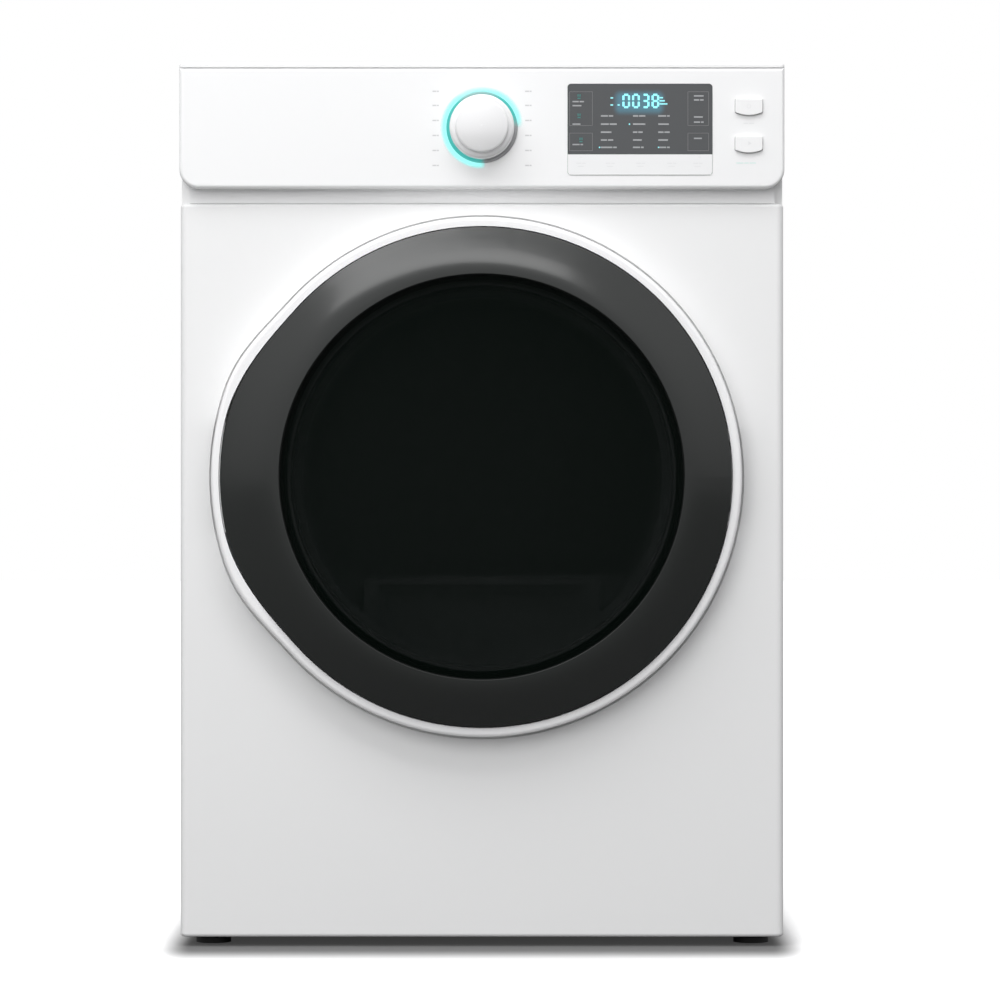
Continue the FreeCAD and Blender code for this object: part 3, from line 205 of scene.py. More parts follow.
# %% Relief group
def new_group(name, inputs, outputs):
    group = bpy.data.node_groups.new(name, "ShaderNodeTree")
    for label, kind, value in inputs:
        socket = group.interface.new_socket(name=label, in_out="INPUT", socket_type=kind)
        if value is not None:
            socket.default_value = value
    for label in outputs:
        group.interface.new_socket(name=label, in_out="OUTPUT", socket_type="NodeSocketFloat")
    start = group.nodes.new("NodeGroupInput")
    end = group.nodes.new("NodeGroupOutput")
    return group, start, end


def use_group(tree, group, **inputs):
    node = add_node(tree, "ShaderNodeGroup", node_tree=group)
    for name, value in inputs.items():
        socket = node.inputs[name.replace("_", " ")]
        if isinstance(value, bpy.types.NodeSocket):
            tree.links.new(value, socket)
        else:
            socket.default_value = value
    return node


VECTOR, FLOAT = "NodeSocketVector", "NodeSocketFloat"
relief, start, end = new_group("fine_relief", [("Vector", VECTOR, None), ("Grain Size", FLOAT, 300.0)],
                               ["Height", "Slow Mask"])
fine = add_node(relief, "ShaderNodeTexNoise", {"Vector": start.outputs["Vector"],
                                               "Scale": start.outputs["Grain Size"],
                                               "Detail": 3.0, "Roughness": 0.55})
slow = add_node(relief, "ShaderNodeTexNoise", {"Vector": start.outputs["Vector"], "Scale": 3.1,
                                               "Detail": 4.0})
relief.links.new(fine.outputs["Fac"], end.inputs["Height"])
relief.links.new(slow.outputs["Fac"], end.inputs["Slow Mask"])
print("group", relief.name)

# %% [markdown]
# ## Shared effect: drawn lines
# Brushed or rolled metal carries fine parallel lines. Noise that is squeezed along one axis gives
# them. The group puts out the lines and a broad tone that drifts across the sheet.

# %% Drawn lines group
drawn, start, end = new_group("drawn_lines", [("Vector", VECTOR, None), ("Line Count", FLOAT, 600.0)],
                              ["Lines", "Tone"])
lines = add_node(drawn, "ShaderNodeTexNoise", {"Vector": start.outputs["Vector"],
                                               "Scale": start.outputs["Line Count"],
                                               "Detail": 2.0, "Roughness": 0.6})
tone = add_node(drawn, "ShaderNodeTexNoise", {"Vector": start.outputs["Vector"], "Scale": 6.0,
                                              "Detail": 3.0})
drawn.links.new(lines.outputs["Fac"], end.inputs["Lines"])
drawn.links.new(tone.outputs["Fac"], end.inputs["Tone"])
print("group", drawn.name)

# %% [markdown]
# ## Shared effect: settled dust
# A dryer gathers a little lint on faces that look up. The group compares the surface's direction
# with straight up and breaks the edge of the dust with noise, so it never ends in a clean line.

# %% Dust group
dust, start, end = new_group("settled_dust", [("Vector", VECTOR, None), ("Amount", FLOAT, 0.4)], ["Mask"])
facing = add_node(dust, "ShaderNodeNewGeometry")
upward = add_node(dust, "ShaderNodeSeparateXYZ", {"Vector": facing.outputs["Normal"]})
flecks = add_node(dust, "ShaderNodeTexNoise", {"Vector": start.outputs["Vector"], "Scale": 90.0,
                                               "Detail": 6.0})
level = add_node(dust, "ShaderNodeMapRange", {"Value": upward.outputs["Z"], "From Min": 0.55,
                                              "From Max": 1.0})
broken = maths(dust, "MULTIPLY", level.outputs["Result"], flecks.outputs["Fac"])
dust.links.new(maths(dust, "MULTIPLY", broken, start.outputs["Amount"]), end.inputs["Mask"])
print("group", dust.name)


# %% [markdown]
# ## Shared effect: distance from a box
# A painted glow round the digits and a painted shadow round the machine's foot both fade with the distance
# from a box.
# The group folds space about the box's middle, takes off half its size, and measures what is left.

# %% Box distance group
box_distance, start, end = new_group("box_distance", [("Vector", VECTOR, None), ("Half Size", VECTOR, None),
                                                      ("Stretch", VECTOR, None)], ["Distance"])
folded = vector_maths(box_distance, "ABSOLUTE", start.outputs["Vector"])
past = vector_maths(box_distance, "SUBTRACT", folded, start.outputs["Half Size"])
past = vector_maths(box_distance, "MAXIMUM", past)
past = vector_maths(box_distance, "MULTIPLY", past, start.outputs["Stretch"])
box_distance.links.new(vector_maths(box_distance, "LENGTH", past, out="Value"), end.inputs["Distance"])
print("group", box_distance.name)


# %% [markdown]
# ## White finishes
# The cabinet is enamelled steel: bright, a little warm, with an orange peel that only shows in
# reflections. The console is moulded plastic, smoother and cooler. They share one recipe with
# different values, so that the two whites sit side by side without matching exactly.

# %% White enamel and white plastic
def white_finish(name, bright, dim, gloss, peel_size, peel_depth, coat):
    material, tree, shader = start_material(name, Coat_Roughness=0.08, Specular_IOR_Level=0.5)
    where = object_coords(tree)
    grain = use_group(tree, relief, Vector=where, Grain_Size=peel_size)
    slow_mask = grain.outputs["Slow Mask"]
    tree.links.new(blend_colours(tree, slow_mask, dim, bright), shader.inputs["Base Color"])
    tree.links.new(spread(tree, slow_mask, gloss - 0.03, gloss + 0.03), shader.inputs["Roughness"])
    shader.inputs["Coat Weight"].default_value = coat
    bump(tree, shader, grain.outputs["Height"], 0.25, peel_depth)
    return material


enamel = white_finish("white_enamel", (0.870, 0.872, 0.870), (0.855, 0.857, 0.857), 0.34, 420.0, 0.02 * MM,
                      0.35)
console_white = white_finish("console_white", (0.905, 0.907, 0.910), (0.895, 0.898, 0.900), 0.26, 900.0,
                             0.01 * MM, 0.2)
key_white = white_finish("key_strip_white", (0.880, 0.885, 0.888), (0.870, 0.875, 0.878), 0.20, 1200.0,
                         0.005 * MM, 0.3)
print("whites ready")

# %% [markdown]
# ## Zinc-coated sheet
# The back, the base pan and the inner sheets are bare galvanised steel. Zinc freezes in large flat
# crystals called spangle. A Voronoi pattern gives one tone to each crystal, and the drawn lines of
# the rolling mill run through them.

# %% Galvanised steel
def zinc_finish(name, tint, dust_amount):
    material, tree, shader = start_material(name, Metallic=1.0)
    where = object_coords(tree)
    crystals = add_node(tree, "ShaderNodeTexVoronoi", {"Vector": where, "Scale": 110.0, "Randomness": 1.0},
                        feature="F1")
    parts = add_node(tree, "ShaderNodeSeparateColor", {"Color": crystals.outputs["Color"]})
    crystal_tone = parts.outputs["Red"]
    rolled = use_group(tree, drawn, Vector=object_coords(tree, scale=(1, 1, 0.04)), Line_Count=500.0)
    dark = [c * 0.88 for c in tint]
    metal = blend_colours(tree, crystal_tone, dark, tint)
    lint = use_group(tree, dust, Vector=where, Amount=dust_amount).outputs["Mask"]
    tree.links.new(blend_colours(tree, lint, metal, (0.62, 0.61, 0.60)), shader.inputs["Base Color"])
    tree.links.new(spread(tree, crystal_tone, 0.34, 0.50), shader.inputs["Roughness"])
    bump(tree, shader, rolled.outputs["Lines"], 0.15, 0.02 * MM)
    return material


zinc = zinc_finish("galvanised_sheet", (0.80, 0.82, 0.84), 0.5)
plated = zinc_finish("zinc_plating", (0.58, 0.585, 0.59), 0.0)
print("zinc ready")


# %% [markdown]
# ## Satin silver and the drum's stainless steel
# The door's ring is plastic under a satin silver coating: mostly metallic, quite rough, nearly white.
# The knob wears a brushed face. The drum is stainless sheet with rows of shallow dimples, which
# stop wet cloth from sticking. Dimples follow the drum round, so their pattern uses the angle.

# %% Silver finishes
def silver_finish(name, tint, metallic, rough, line_scale, centre):
    material, tree, shader = start_material(name, Metallic=metallic)
    where = object_coords(tree, scale=line_scale, centre=centre)
    brushed = use_group(tree, drawn, Vector=where, Line_Count=420.0)
    shade = blend_colours(tree, brushed.outputs["Tone"], [c * 0.95 for c in tint], tint)
    tree.links.new(shade, shader.inputs["Base Color"])
    tree.links.new(spread(tree, brushed.outputs["Lines"], rough - 0.05, rough + 0.06),
                   shader.inputs["Roughness"])
    bump(tree, shader, brushed.outputs["Lines"], 0.12, 0.01 * MM)
    return material


ring_silver = silver_finish("ring_silver", (0.97, 0.97, 0.975), 0.08, 0.34, (1, 1, 1), DOOR)
knob_silver = silver_finish("knob_silver", (0.98, 0.98, 0.985), 0.35, 0.24, (1, 1, 1), KNOB)


def polar(tree, where):
    """The angle round the Y axis of the coordinates where, and their separate parts."""
    split = add_node(tree, "ShaderNodeSeparateXYZ", {"Vector": where})
    return maths(tree, "ARCTAN2", split.outputs["Z"], split.outputs["X"]), split


def drum_steel():
    material, tree, shader = start_material("drum_stainless", Metallic=1.0)
    angle, split = polar(tree, object_coords(tree, centre=DRUM))
    round_it = maths(tree, "MULTIPLY", angle, 90.0 / math.pi)
    along = maths(tree, "MULTIPLY", split.outputs["Y"], 45.0)
    cells = add_node(tree, "ShaderNodeCombineXYZ", {"X": round_it, "Y": along})
    grid = add_node(tree, "ShaderNodeTexVoronoi", {"Vector": cells.outputs["Vector"], "Scale": 1.0,
                                                   "Randomness": 0.0},
                    feature="F1")
    dimple = add_node(tree, "ShaderNodeMapRange", {"Value": grid.outputs["Distance"], "From Min": 0.12,
                                                   "From Max": 0.26})
    brushed = use_group(tree, drawn, Vector=object_coords(tree, scale=(1, 0.05, 1)), Line_Count=380.0)
    shade = blend_colours(tree, brushed.outputs["Tone"], (0.60, 0.60, 0.61), (0.74, 0.74, 0.75))
    tree.links.new(shade, shader.inputs["Base Color"])
    tree.links.new(spread(tree, brushed.outputs["Lines"], 0.24, 0.36), shader.inputs["Roughness"])
    bump(tree, shader, dimple.outputs["Result"], 0.8, 1.2 * MM)
    return material


stainless = drum_steel()
print("silver and stainless ready")


# %% [markdown]
# ## Dark plastics, rubber and felt
# Moulded plastic has a fine even grain. Rubber is darker, rougher and slightly mottled. Felt is a mat
# of short fibres, so its relief is coarse and it has a little sheen. One recipe covers them
# all, with its colours, gloss and grain as values.

# %% Matte finishes
def matte_finish(name, light, dark, rough, grain_size, depth, sheen=0.0, lint=0.0, strength=0.5):
    material, tree, shader = start_material(name, Sheen_Weight=sheen)
    where = object_coords(tree)
    grain = use_group(tree, relief, Vector=where, Grain_Size=grain_size)
    colour = blend_colours(tree, grain.outputs["Slow Mask"], dark, light)
    if lint:
        mask = use_group(tree, dust, Vector=where, Amount=lint).outputs["Mask"]
        colour = blend_colours(tree, mask, colour, (0.55, 0.54, 0.53))
    tree.links.new(colour, shader.inputs["Base Color"])
    tree.links.new(spread(tree, grain.outputs["Height"], rough - 0.06, rough + 0.06),
                   shader.inputs["Roughness"])
    bump(tree, shader, grain.outputs["Height"], strength, depth)
    return material


grey_plastic = matte_finish("grey_moulding", (0.40, 0.41, 0.42), (0.36, 0.37, 0.38), 0.48, 1400.0,
                            0.03 * MM, lint=0.3)
black_plastic = matte_finish("black_moulding", (0.030, 0.030, 0.032), (0.022, 0.022, 0.024), 0.45, 1400.0,
                             0.03 * MM)
pale_plastic = matte_finish("pale_moulding", (0.74, 0.74, 0.73), (0.69, 0.69, 0.68), 0.42, 1400.0,
                            0.02 * MM, lint=0.3)
seal_rubber = matte_finish("seal_rubber", (0.035, 0.035, 0.036), (0.022, 0.022, 0.023), 0.62, 900.0,
                           0.05 * MM, lint=0.4)
foot_rubber = matte_finish("foot_rubber", (0.020, 0.020, 0.020), (0.010, 0.010, 0.010), 0.50, 700.0,
                           0.06 * MM)
felt = matte_finish("pressed_felt", (0.50, 0.48, 0.45), (0.38, 0.36, 0.34), 0.92, 700.0, 0.6 * MM,
                    sheen=0.4, strength=0.9)
enamel_black = matte_finish("motor_enamel", (0.050, 0.052, 0.055), (0.035, 0.037, 0.040), 0.35, 500.0,
                            0.03 * MM, lint=0.8)
print("matte finishes ready")


# %% [markdown]
# ## Smoked cover and door glass
# The door's outer cover is smoked plastic over dark parts, so it reads as a deep grey gloss. The
# round window is dark tinted glass, set back in the cover. Light does pass it, so its alpha stays
# under one and the drum shows faintly behind. The inner bowl is clear pressed glass.

# %% Glossy dark finishes
def smoked_finish(name, light, dark, rough, coat, alpha=1.0, mirror=0.5):
    material, tree, shader = start_material(name, Coat_Weight=coat, Coat_Roughness=0.12, Alpha=alpha,
                                            Specular_IOR_Level=mirror)
    smear = use_group(tree, relief, Vector=object_coords(tree), Grain_Size=60.0)
    tree.links.new(blend_colours(tree, smear.outputs["Slow Mask"], dark, light),
                   shader.inputs["Base Color"])
    tree.links.new(spread(tree, smear.outputs["Height"], rough - 0.02, rough + 0.03),
                   shader.inputs["Roughness"])
    return material


smoked_cover = smoked_finish("smoked_cover", (0.022, 0.024, 0.023), (0.018, 0.020, 0.019), 0.24, 0.15)
window_glass = smoked_finish("tinted_window", (0.002, 0.004, 0.003), (0.001, 0.003, 0.002), 0.05, 0.0,
                             alpha=0.62,
                             mirror=0.05)
bowl_glass = smoked_finish("pressed_glass", (0.70, 0.76, 0.75), (0.66, 0.72, 0.71), 0.06, 0.0, alpha=0.09)
display_black = smoked_finish("display_acrylic", (0.086, 0.090, 0.094), (0.074, 0.078, 0.082), 0.14, 0.5)
print("smoked finishes ready")


# %% [markdown]
# ## Light
# Three things on the console give light: the digits, a few status dots, and the ring round the knob.
# The ring is a light guide lit over two arcs. The angle round the knob, wrapped to 0..1, passes a
# ramp that says how strongly each part of the ring glows. The guide and the glow beside it share
# that ramp as a group. On the acrylic round the digits a painted glow stands for their light.

# %% Glowing finishes
def glow_finish(name, colour, strength, body=(0.02, 0.05, 0.05)):
    material, tree, shader = start_material(name, Emission_Strength=strength, Roughness=0.35)
    patchy = use_group(tree, relief, Vector=object_coords(tree), Grain_Size=260.0)
    lit = blend_colours(tree, patchy.outputs["Height"], [c * 0.86 for c in colour], colour)
    tree.links.new(lit, shader.inputs["Emission Color"])
    shader.inputs["Base Color"].default_value = (*body, 1.0)
    return material


ARCS = [(0.0, 0.0), (0.035, 0.75), (0.06, 1.0), (0.155, 1.0), (0.20, 0.60), (0.26, 0.45), (0.335, 0.45),
        (0.375, 1.0), (0.70, 1.0), (0.745, 0.85), (0.765, 0.0)]
lit_arcs, start, end = new_group("lit_arcs", [("Vector", VECTOR, None)], ["Lit", "Distance"])
angle, split = polar(lit_arcs, start.outputs["Vector"])
turn = maths(lit_arcs, "FRACT", maths(lit_arcs, "MULTIPLY", angle, 0.5 / math.pi))
ramp = add_node(lit_arcs, "ShaderNodeValToRGB", {"Fac": turn})
stops = ramp.color_ramp.elements
stops[0].position, stops[1].position = ARCS[0][0], ARCS[-1][0]
stops[1].color = (0.0, 0.0, 0.0, 1.0)
for position, value in ARCS[1:-1]:
    stops.new(position).color = (value, value, value, 1.0)
flat = add_node(lit_arcs, "ShaderNodeCombineXYZ", {"X": split.outputs["X"], "Z": split.outputs["Z"]})
distance = vector_maths(lit_arcs, "LENGTH", flat.outputs["Vector"], out="Value")
lit_arcs.links.new(ramp.outputs["Color"], end.inputs["Lit"])
lit_arcs.links.new(distance, end.inputs["Distance"])


def ring_glow():
    material, tree, shader = start_material("light_guide", Emission_Strength=1.0, Roughness=0.22)
    lit = use_group(tree, lit_arcs, Vector=object_coords(tree, centre=KNOB)).outputs["Lit"]
    glow = blend_colours(tree, lit, (0.0, 0.0, 0.0), (0.035, 0.36, 0.33))
    tree.links.new(glow, shader.inputs["Emission Color"])
    body = blend_colours(tree, lit, (0.40, 0.40, 0.41), (0.03, 0.16, 0.15))
    tree.links.new(body, shader.inputs["Base Color"])
    return material


def halo_glow():
    """Light from the guide on the plastic beside it, which fades with distance from the guide."""
    material, tree, shader = start_material("halo_light", Emission_Strength=1.0, Roughness=0.5)
    arcs = use_group(tree, lit_arcs, Vector=object_coords(tree, centre=KNOB))
    reach = {"Value": arcs.outputs["Distance"], "From Min": HALO_IN, "From Max": HALO_OUT, "To Min": 0.92,
             "To Max": 0.0}
    fade = add_node(tree, "ShaderNodeMapRange", reach, interpolation_type="SMOOTHSTEP").outputs["Result"]
    tree.links.new(maths(tree, "MULTIPLY", arcs.outputs["Lit"], fade), shader.inputs["Alpha"])
    glow = blend_colours(tree, arcs.outputs["Lit"], (0.30, 0.75, 0.72), (0.34, 0.93, 0.90))
    tree.links.new(glow, shader.inputs["Emission Color"])
    shader.inputs["Base Color"].default_value = (0.10, 0.20, 0.20, 1.0)
    return material


def add_display_glow(material):
    """A painted glow on the acrylic round the digits: full inside a box, gone a few millimetres outside it.
    """
    tree = material.node_tree
    shader = tree.nodes["Principled BSDF"]
    reach = use_group(tree, box_distance, Vector=object_coords(tree, centre=DIGIT_GLOW), Half_Size=DIGIT_GLOW_HALF,
                      Stretch=(1.0, 1.0, 1.0)).outputs["Distance"]
    fall = {"Value": reach, "From Max": DIGIT_GLOW_FADE, "To Min": 1.0, "To Max": 0.0}
    painted_digit_glow = add_node(tree, "ShaderNodeMapRange", fall, interpolation_type="SMOOTHERSTEP").outputs["Result"]
    glow = blend_colours(tree, painted_digit_glow, (0.0, 0.0, 0.0), (0.010, 0.125, 0.185))
    tree.links.new(glow, shader.inputs["Emission Color"])
    shader.inputs["Emission Strength"].default_value = 1.0


GUIDE_LOW, GUIDE_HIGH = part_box("knob_light_ring")
HALO_IN = (GUIDE_HIGH.x - GUIDE_LOW.x) / 2
HALO_WIDTH = 7.5 * MM
HALO_OUT = HALO_IN + HALO_WIDTH
# Middle, half size and fade of the painted glow that stands for the digits' light on the acrylic.
DIGIT_GLOW = middle("display_window") + Vector((-1.0 * MM, 0, 18.5 * MM))
DIGIT_GLOW_HALF = (21 * MM, 1.0, 6 * MM)
DIGIT_GLOW_FADE = 11 * MM
light_guide = ring_glow()
halo_light = halo_glow()
add_display_glow(display_black)
digit_light = glow_finish("digit_light", (0.30, 0.92, 1.00), 1.5)
dot_light = glow_finish("dot_light", (0.35, 0.95, 1.00), 1.1)
teal_print = glow_finish("teal_print", (0.05, 0.42, 0.38), 0.45)
grey_print = matte_finish("pale_print", (0.42, 0.43, 0.44), (0.34, 0.35, 0.36), 0.5, 900.0, 0.01 * MM)
frame_print = matte_finish("dim_print", (0.27, 0.27, 0.27), (0.23, 0.23, 0.23), 0.5, 900.0, 0.01 * MM)
faint_grey = matte_finish("faint_grey_mark", (0.78, 0.785, 0.79), (0.75, 0.755, 0.76), 0.5, 900.0,
                          0.01 * MM)
faint_teal = matte_finish("faint_teal_mark", (0.66, 0.82, 0.78), (0.62, 0.79, 0.75), 0.5, 900.0, 0.01 * MM)
mark_print = matte_finish("grey_mark", (0.62, 0.62, 0.63), (0.58, 0.58, 0.59), 0.5, 900.0, 0.01 * MM)
print("lights and prints ready")


# %% [markdown]
# ## Special finishes
# Four finishes are each used in one place only: the circuit board with its lacquered copper lanes, the lint
# screen with its fine weave, the ribbed belt, and the heating rod, which has turned straw and blue
# with heat.

# %% Board, screen, belt and rod
def weave_height(tree, where, count):
    split = add_node(tree, "ShaderNodeSeparateXYZ", {"Vector": where})
    waves = []
    for axis in ("X", "Z"):
        waves.append(maths(tree, "SINE", maths(tree, "MULTIPLY", split.outputs[axis], count)))
    return maths(tree, "MAXIMUM", waves[0], waves[1])


def board_finish():
    material, tree, shader = start_material("circuit_board", Roughness=0.3, Coat_Weight=0.4)
    lanes = add_node(tree, "ShaderNodeTexBrick", {"Vector": object_coords(tree, scale=(1, 1, 1)),
                                                  "Scale": 160.0,
                                                  "Mortar Size": 0.04})
    tree.links.new(blend_colours(tree, lanes.outputs["Fac"], (0.020, 0.14, 0.06), (0.05, 0.24, 0.10)),
                   shader.inputs["Base Color"])
    bump(tree, shader, lanes.outputs["Fac"], 0.3, 0.05 * MM)
    return material


def screen_finish():
    material, tree, shader = start_material("lint_screen", Roughness=0.45)
    where = object_coords(tree)
    weave = weave_height(tree, where, 3200.0)
    lint = use_group(tree, relief, Vector=where, Grain_Size=60.0)
    cloth = blend_colours(tree, spread(tree, weave, 0.0, 1.0), (0.30, 0.31, 0.32), (0.50, 0.51, 0.52))
    tree.links.new(blend_colours(tree, spread(tree, lint.outputs["Slow Mask"], 0.0, 0.5), cloth,
                                 (0.48, 0.47, 0.47)),
                   shader.inputs["Base Color"])
    bump(tree, shader, weave, 0.6, 0.2 * MM)
    return material


def belt_finish():
    material, tree, shader = start_material("ribbed_belt", Roughness=0.6)
    ribs = add_node(tree, "ShaderNodeTexWave", {"Vector": object_coords(tree), "Scale": 90.0},
                    bands_direction="Y")
    tree.links.new(blend_colours(tree, ribs.outputs["Fac"], (0.018, 0.018, 0.018), (0.05, 0.05, 0.05)),
                   shader.inputs["Base Color"])
    bump(tree, shader, ribs.outputs["Fac"], 0.7, 0.6 * MM)
    return material


def rod_finish():
    material, tree, shader = start_material("heated_rod", Metallic=0.9, Roughness=0.4)
    heat = add_node(tree, "ShaderNodeTexNoise", {"Vector": object_coords(tree), "Scale": 14.0,
                                                 "Detail": 2.0})
    tree.links.new(blend_colours(tree, heat.outputs["Fac"], (0.16, 0.17, 0.26), (0.42, 0.32, 0.20)),
                   shader.inputs["Base Color"])
    return material


board, lint_screen, belt_rubber, rod = board_finish(), screen_finish(), belt_finish(), rod_finish()
print("special finishes ready")

# %% [markdown]
# ## Dress the frame
# Each CAD piece keeps its shape and takes one finish through its own material slots. The table
# lists finishes and the pieces that wear them, so a missing piece is easy to spot.

# %% Assign finishes
WEARS = {
    enamel: ["left_side_panel", "right_side_panel", "top_cover", "front_panel"],
    console_white: ["console_fascia", "power_button", "start_button", "door_switch_plunger"],
    key_white: ["touch_key_strip"],
    zinc: ["base_pan", "rear_panel", "front_bulkhead", "rear_bulkhead", "heater_housing", "exhaust_pipe",
           "terminal_cover"],
    plated: ["door_strike", "hinge_leaf", "hinge_bracket", "roller_shafts", "motor_shaft", "idler_arm",
             "idler_spring", "moisture_sensors", "cabinet_screws", "door_screws"],
    ring_silver: ["door_trim_ring"],
    knob_silver: ["selector_knob"],
    stainless: ["drum_shell"],
    grey_plastic: ["door_inner_frame", "door_grip", "blower_housing", "lint_duct"],
    black_plastic: ["door_catch", "door_switch", "blower_wheel", "idler_pulley", "thermostats",
                    "terminal_block"],
    pale_plastic: ["drum_baffles", "drum_lamp"],
    seal_rubber: ["opening_gasket", "roller_left", "roller_right"],
    foot_rubber: ["foot_front_left", "foot_front_right", "foot_rear_left", "foot_rear_right"],
    felt: ["drum_felts"],
    enamel_black: ["motor"],
    smoked_cover: ["door_cover"],
    window_glass: ["door_window"],
    bowl_glass: ["door_inner_glass"],
    display_black: ["display_window"],
    light_guide: ["knob_light_ring"],
    board: ["ui_board", "control_board"],
    lint_screen: ["lint_filter"],
    belt_rubber: ["drum_belt"],
    rod: ["heater_coil"],
}
dressed = set()
for material, names in WEARS.items():
    for name in names:
        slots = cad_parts[name].material_slots
        for one in slots:
            one.material = material
        dressed.add(name)
print("dressed", len(dressed), "left bare", sorted(set(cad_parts) - dressed))

# %% [markdown]
# ## The display's digits
# Four seven-segment digits read 0038. Each digit switches on some of seven bars. A bar is a thin
# block, and all lit bars of the display share one bmesh. They lie a hair in front of the acrylic.

# %% Digits
GLASS_LOW, GLASS_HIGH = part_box("display_window")
PRINT = 0.12 * MM
GLASS_Y = GLASS_LOW.y
SEGMENTS = {"0": "abcdef", "3": "abcdg", "8": "abcdefg"}
DIGIT_W, DIGIT_H, BAR = 8.6 * MM, 16.4 * MM, 2.3 * MM
DIGIT_PITCH = 11.0 * MM


def add_bar(bm, middle_at, length, upright):
    half = Vector((BAR / 2, 0, length / 2)) if upright else Vector((length / 2, 0, BAR / 2))
    centre = Vector(middle_at)
    add_block(bm, centre - half - Vector((0, PRINT, 0)), centre + half)


def add_digit(bm, digit, left, low):
    w, h, y = DIGIT_W - BAR, DIGIT_H - BAR, GLASS_Y
    x0, z0 = left + BAR / 2, low + BAR / 2
    across = w - BAR * 0.75
    rise = h / 2 - BAR * 0.75
    places = {
        "a": ((x0 + w / 2, y, z0 + h), across, False), "g": ((x0 + w / 2, y, z0 + h / 2), across, False),
        "d": ((x0 + w / 2, y, z0), across, False), "b": ((x0 + w, y, z0 + h * 0.75), rise, True),
        "c": ((x0 + w, y, z0 + h * 0.25), rise, True), "e": ((x0, y, z0 + h * 0.25), rise, True),
        "f": ((x0, y, z0 + h * 0.75), rise, True),
    }
    for segment in SEGMENTS[digit]:
        place, length, upright = places[segment]
        add_bar(bm, place, length, upright)


glass_w = GLASS_HIGH.x - GLASS_LOW.x
digits_x = GLASS_LOW.x + glass_w * 0.378
digits_z = GLASS_HIGH.z - 27.6 * MM
bm = bmesh.new()
for place, digit in enumerate("0038"):
    add_digit(bm, digit, digits_x + place * DIGIT_PITCH, digits_z)
finish_piece(bm, "display_digits", "cabinet", digit_light)

# %% [markdown]
# ## The glow round the knob
# The light guide spills a soft light on the white plastic beside it. A flat washer, a tenth of a
# millimetre thick, carries it. Its finish fades outwards and follows the guide's lit arcs.

# %% Halo washer
bm = bmesh.new()
washer = [(HALO_IN + 0.1 * MM, CONSOLE_Y - PRINT), (HALO_OUT, CONSOLE_Y - PRINT),
          (HALO_OUT, CONSOLE_Y - PRINT / 2),
          (HALO_IN + 0.1 * MM, CONSOLE_Y - PRINT / 2)]
add_lathe(bm, [*washer, washer[0]], (KNOB.x, 0, KNOB.z))
finish_piece(bm, "light_ring_halo", "cabinet", halo_light)

# %% [markdown]
# ## Printed marks
# The display also carries small symbols and short labels. They are kept generic: every label is a
# row of plain dashes with no lettering. A dash is a thin block, so a whole label set is a few dozen
# faces. Places are given in millimetres from the middle of the display.

# %% Dash helper
GLASS_MID = (GLASS_LOW + GLASS_HIGH) / 2


def add_dashes(bm, x, z, lengths, height, y, gap=1.0, origin=GLASS_MID, proud=PRINT):
    """A row of thin blocks starting at (x, z) millimetres from origin, on the face y."""
    left = origin.x + x * MM
    z0 = origin.z + z * MM
    for length in lengths:
        add_block(bm, (left, y - proud, z0 - height * MM / 2),
                  (left + length * MM, y, z0 + height * MM / 2))
        left += (length + gap) * MM


def add_box_line(bm, x, z, line, y, origin=GLASS_MID):
    """Four thin blocks round a rectangle; x and z are (low, high) in millimetres from origin."""
    (x0, x1), (z0, z1) = x, z
    for row in (z0, z1):
        add_dashes(bm, x0, row, [x1 - x0], line, y, origin=origin)
    for column in (x0, x1):
        low = (origin.x + (column - line / 2) * MM, y - PRINT, origin.z + z0 * MM)
        high = (origin.x + (column + line / 2) * MM, y, origin.z + z1 * MM)
        add_block(bm, low, high)


# %% [markdown]
# ## Labels on the display
# Three columns of labels sit under the digits, five rows each. Two narrow touch fields stand at each
# end of the glass. Lit symbols are cyan, the others pale grey.

# %% Display labels
bm = bmesh.new()
ROWS = (3.4, -5.9, -15.0, -23.9, -32.2)
COLUMNS = {
    -44.4: ((8, 5), (9, 8), (12,), (7, 6), (13, 4)),
    -8.0: ((6, 7), (14,), (5, 5), (10,), (8, 3)),
    20.6: ((9, 3), (12,), (6, 6), (11,), (9, 3)),
}
for x, rows in COLUMNS.items():
    for z, lengths in zip(ROWS, rows):
        add_dashes(bm, x, z, lengths, 1.7, GLASS_Y)
for z, lengths in ((19.6, (7, 5)), (15.0, (10,)), (-5.9, (9,)), (-29.0, (8, 3))):
    add_dashes(bm, -76.5, z, lengths, 1.5, GLASS_Y)
for z, lengths in ((26.1, (11,)), (21.5, (6, 4)), (2.2, (10,)), (-3.6, (7, 3)), (-22.0, (9,))):
    add_dashes(bm, 61.0, z, lengths, 1.5, GLASS_Y)
finish_piece(bm, "display_labels", "cabinet", grey_print)

bm = bmesh.new()
for x in ((-79.8, -54.0), (54.2, 77.6)):
    add_box_line(bm, x, (-7.5, 30.8), 0.35, GLASS_Y)
    add_box_line(bm, x, (-36.0, -16.1), 0.35, GLASS_Y)
finish_piece(bm, "display_fields", "cabinet", frame_print)

bm = bmesh.new()
for x, z in ((-12.0, -5.9), (-45.9, -32.2), (21.0, -32.2)):
    add_disc(bm, (GLASS_MID.x + x * MM, GLASS_Y - PRINT, GLASS_MID.z + z * MM), 0.9 * MM, PRINT, sides=16)
for x, z, length in ((-33.5, 23.8, 3.0), (-33.5, 15.8, 3.0), (-25.5, 15.8, 2.6), (22.0, 24.0, 4.0),
                     (22.0, 20.5, 6.0),
                     (22.0, 17.0, 9.0)):
    add_dashes(bm, x, z, [length], 1.6, GLASS_Y)
finish_piece(bm, "display_dots", "cabinet", dot_light)

bm = bmesh.new()
for x, z in ((-68.4, 25.0), (-68.4, 3.2), (-66.2, -24.1)):
    add_dashes(bm, x - 2.4, z + 1.6, [1.2, 1.2], 2.6, GLASS_Y)
    add_dashes(bm, x - 2.4, z - 1.6, [3.4], 1.2, GLASS_Y)
finish_piece(bm, "display_symbols", "cabinet", teal_print)

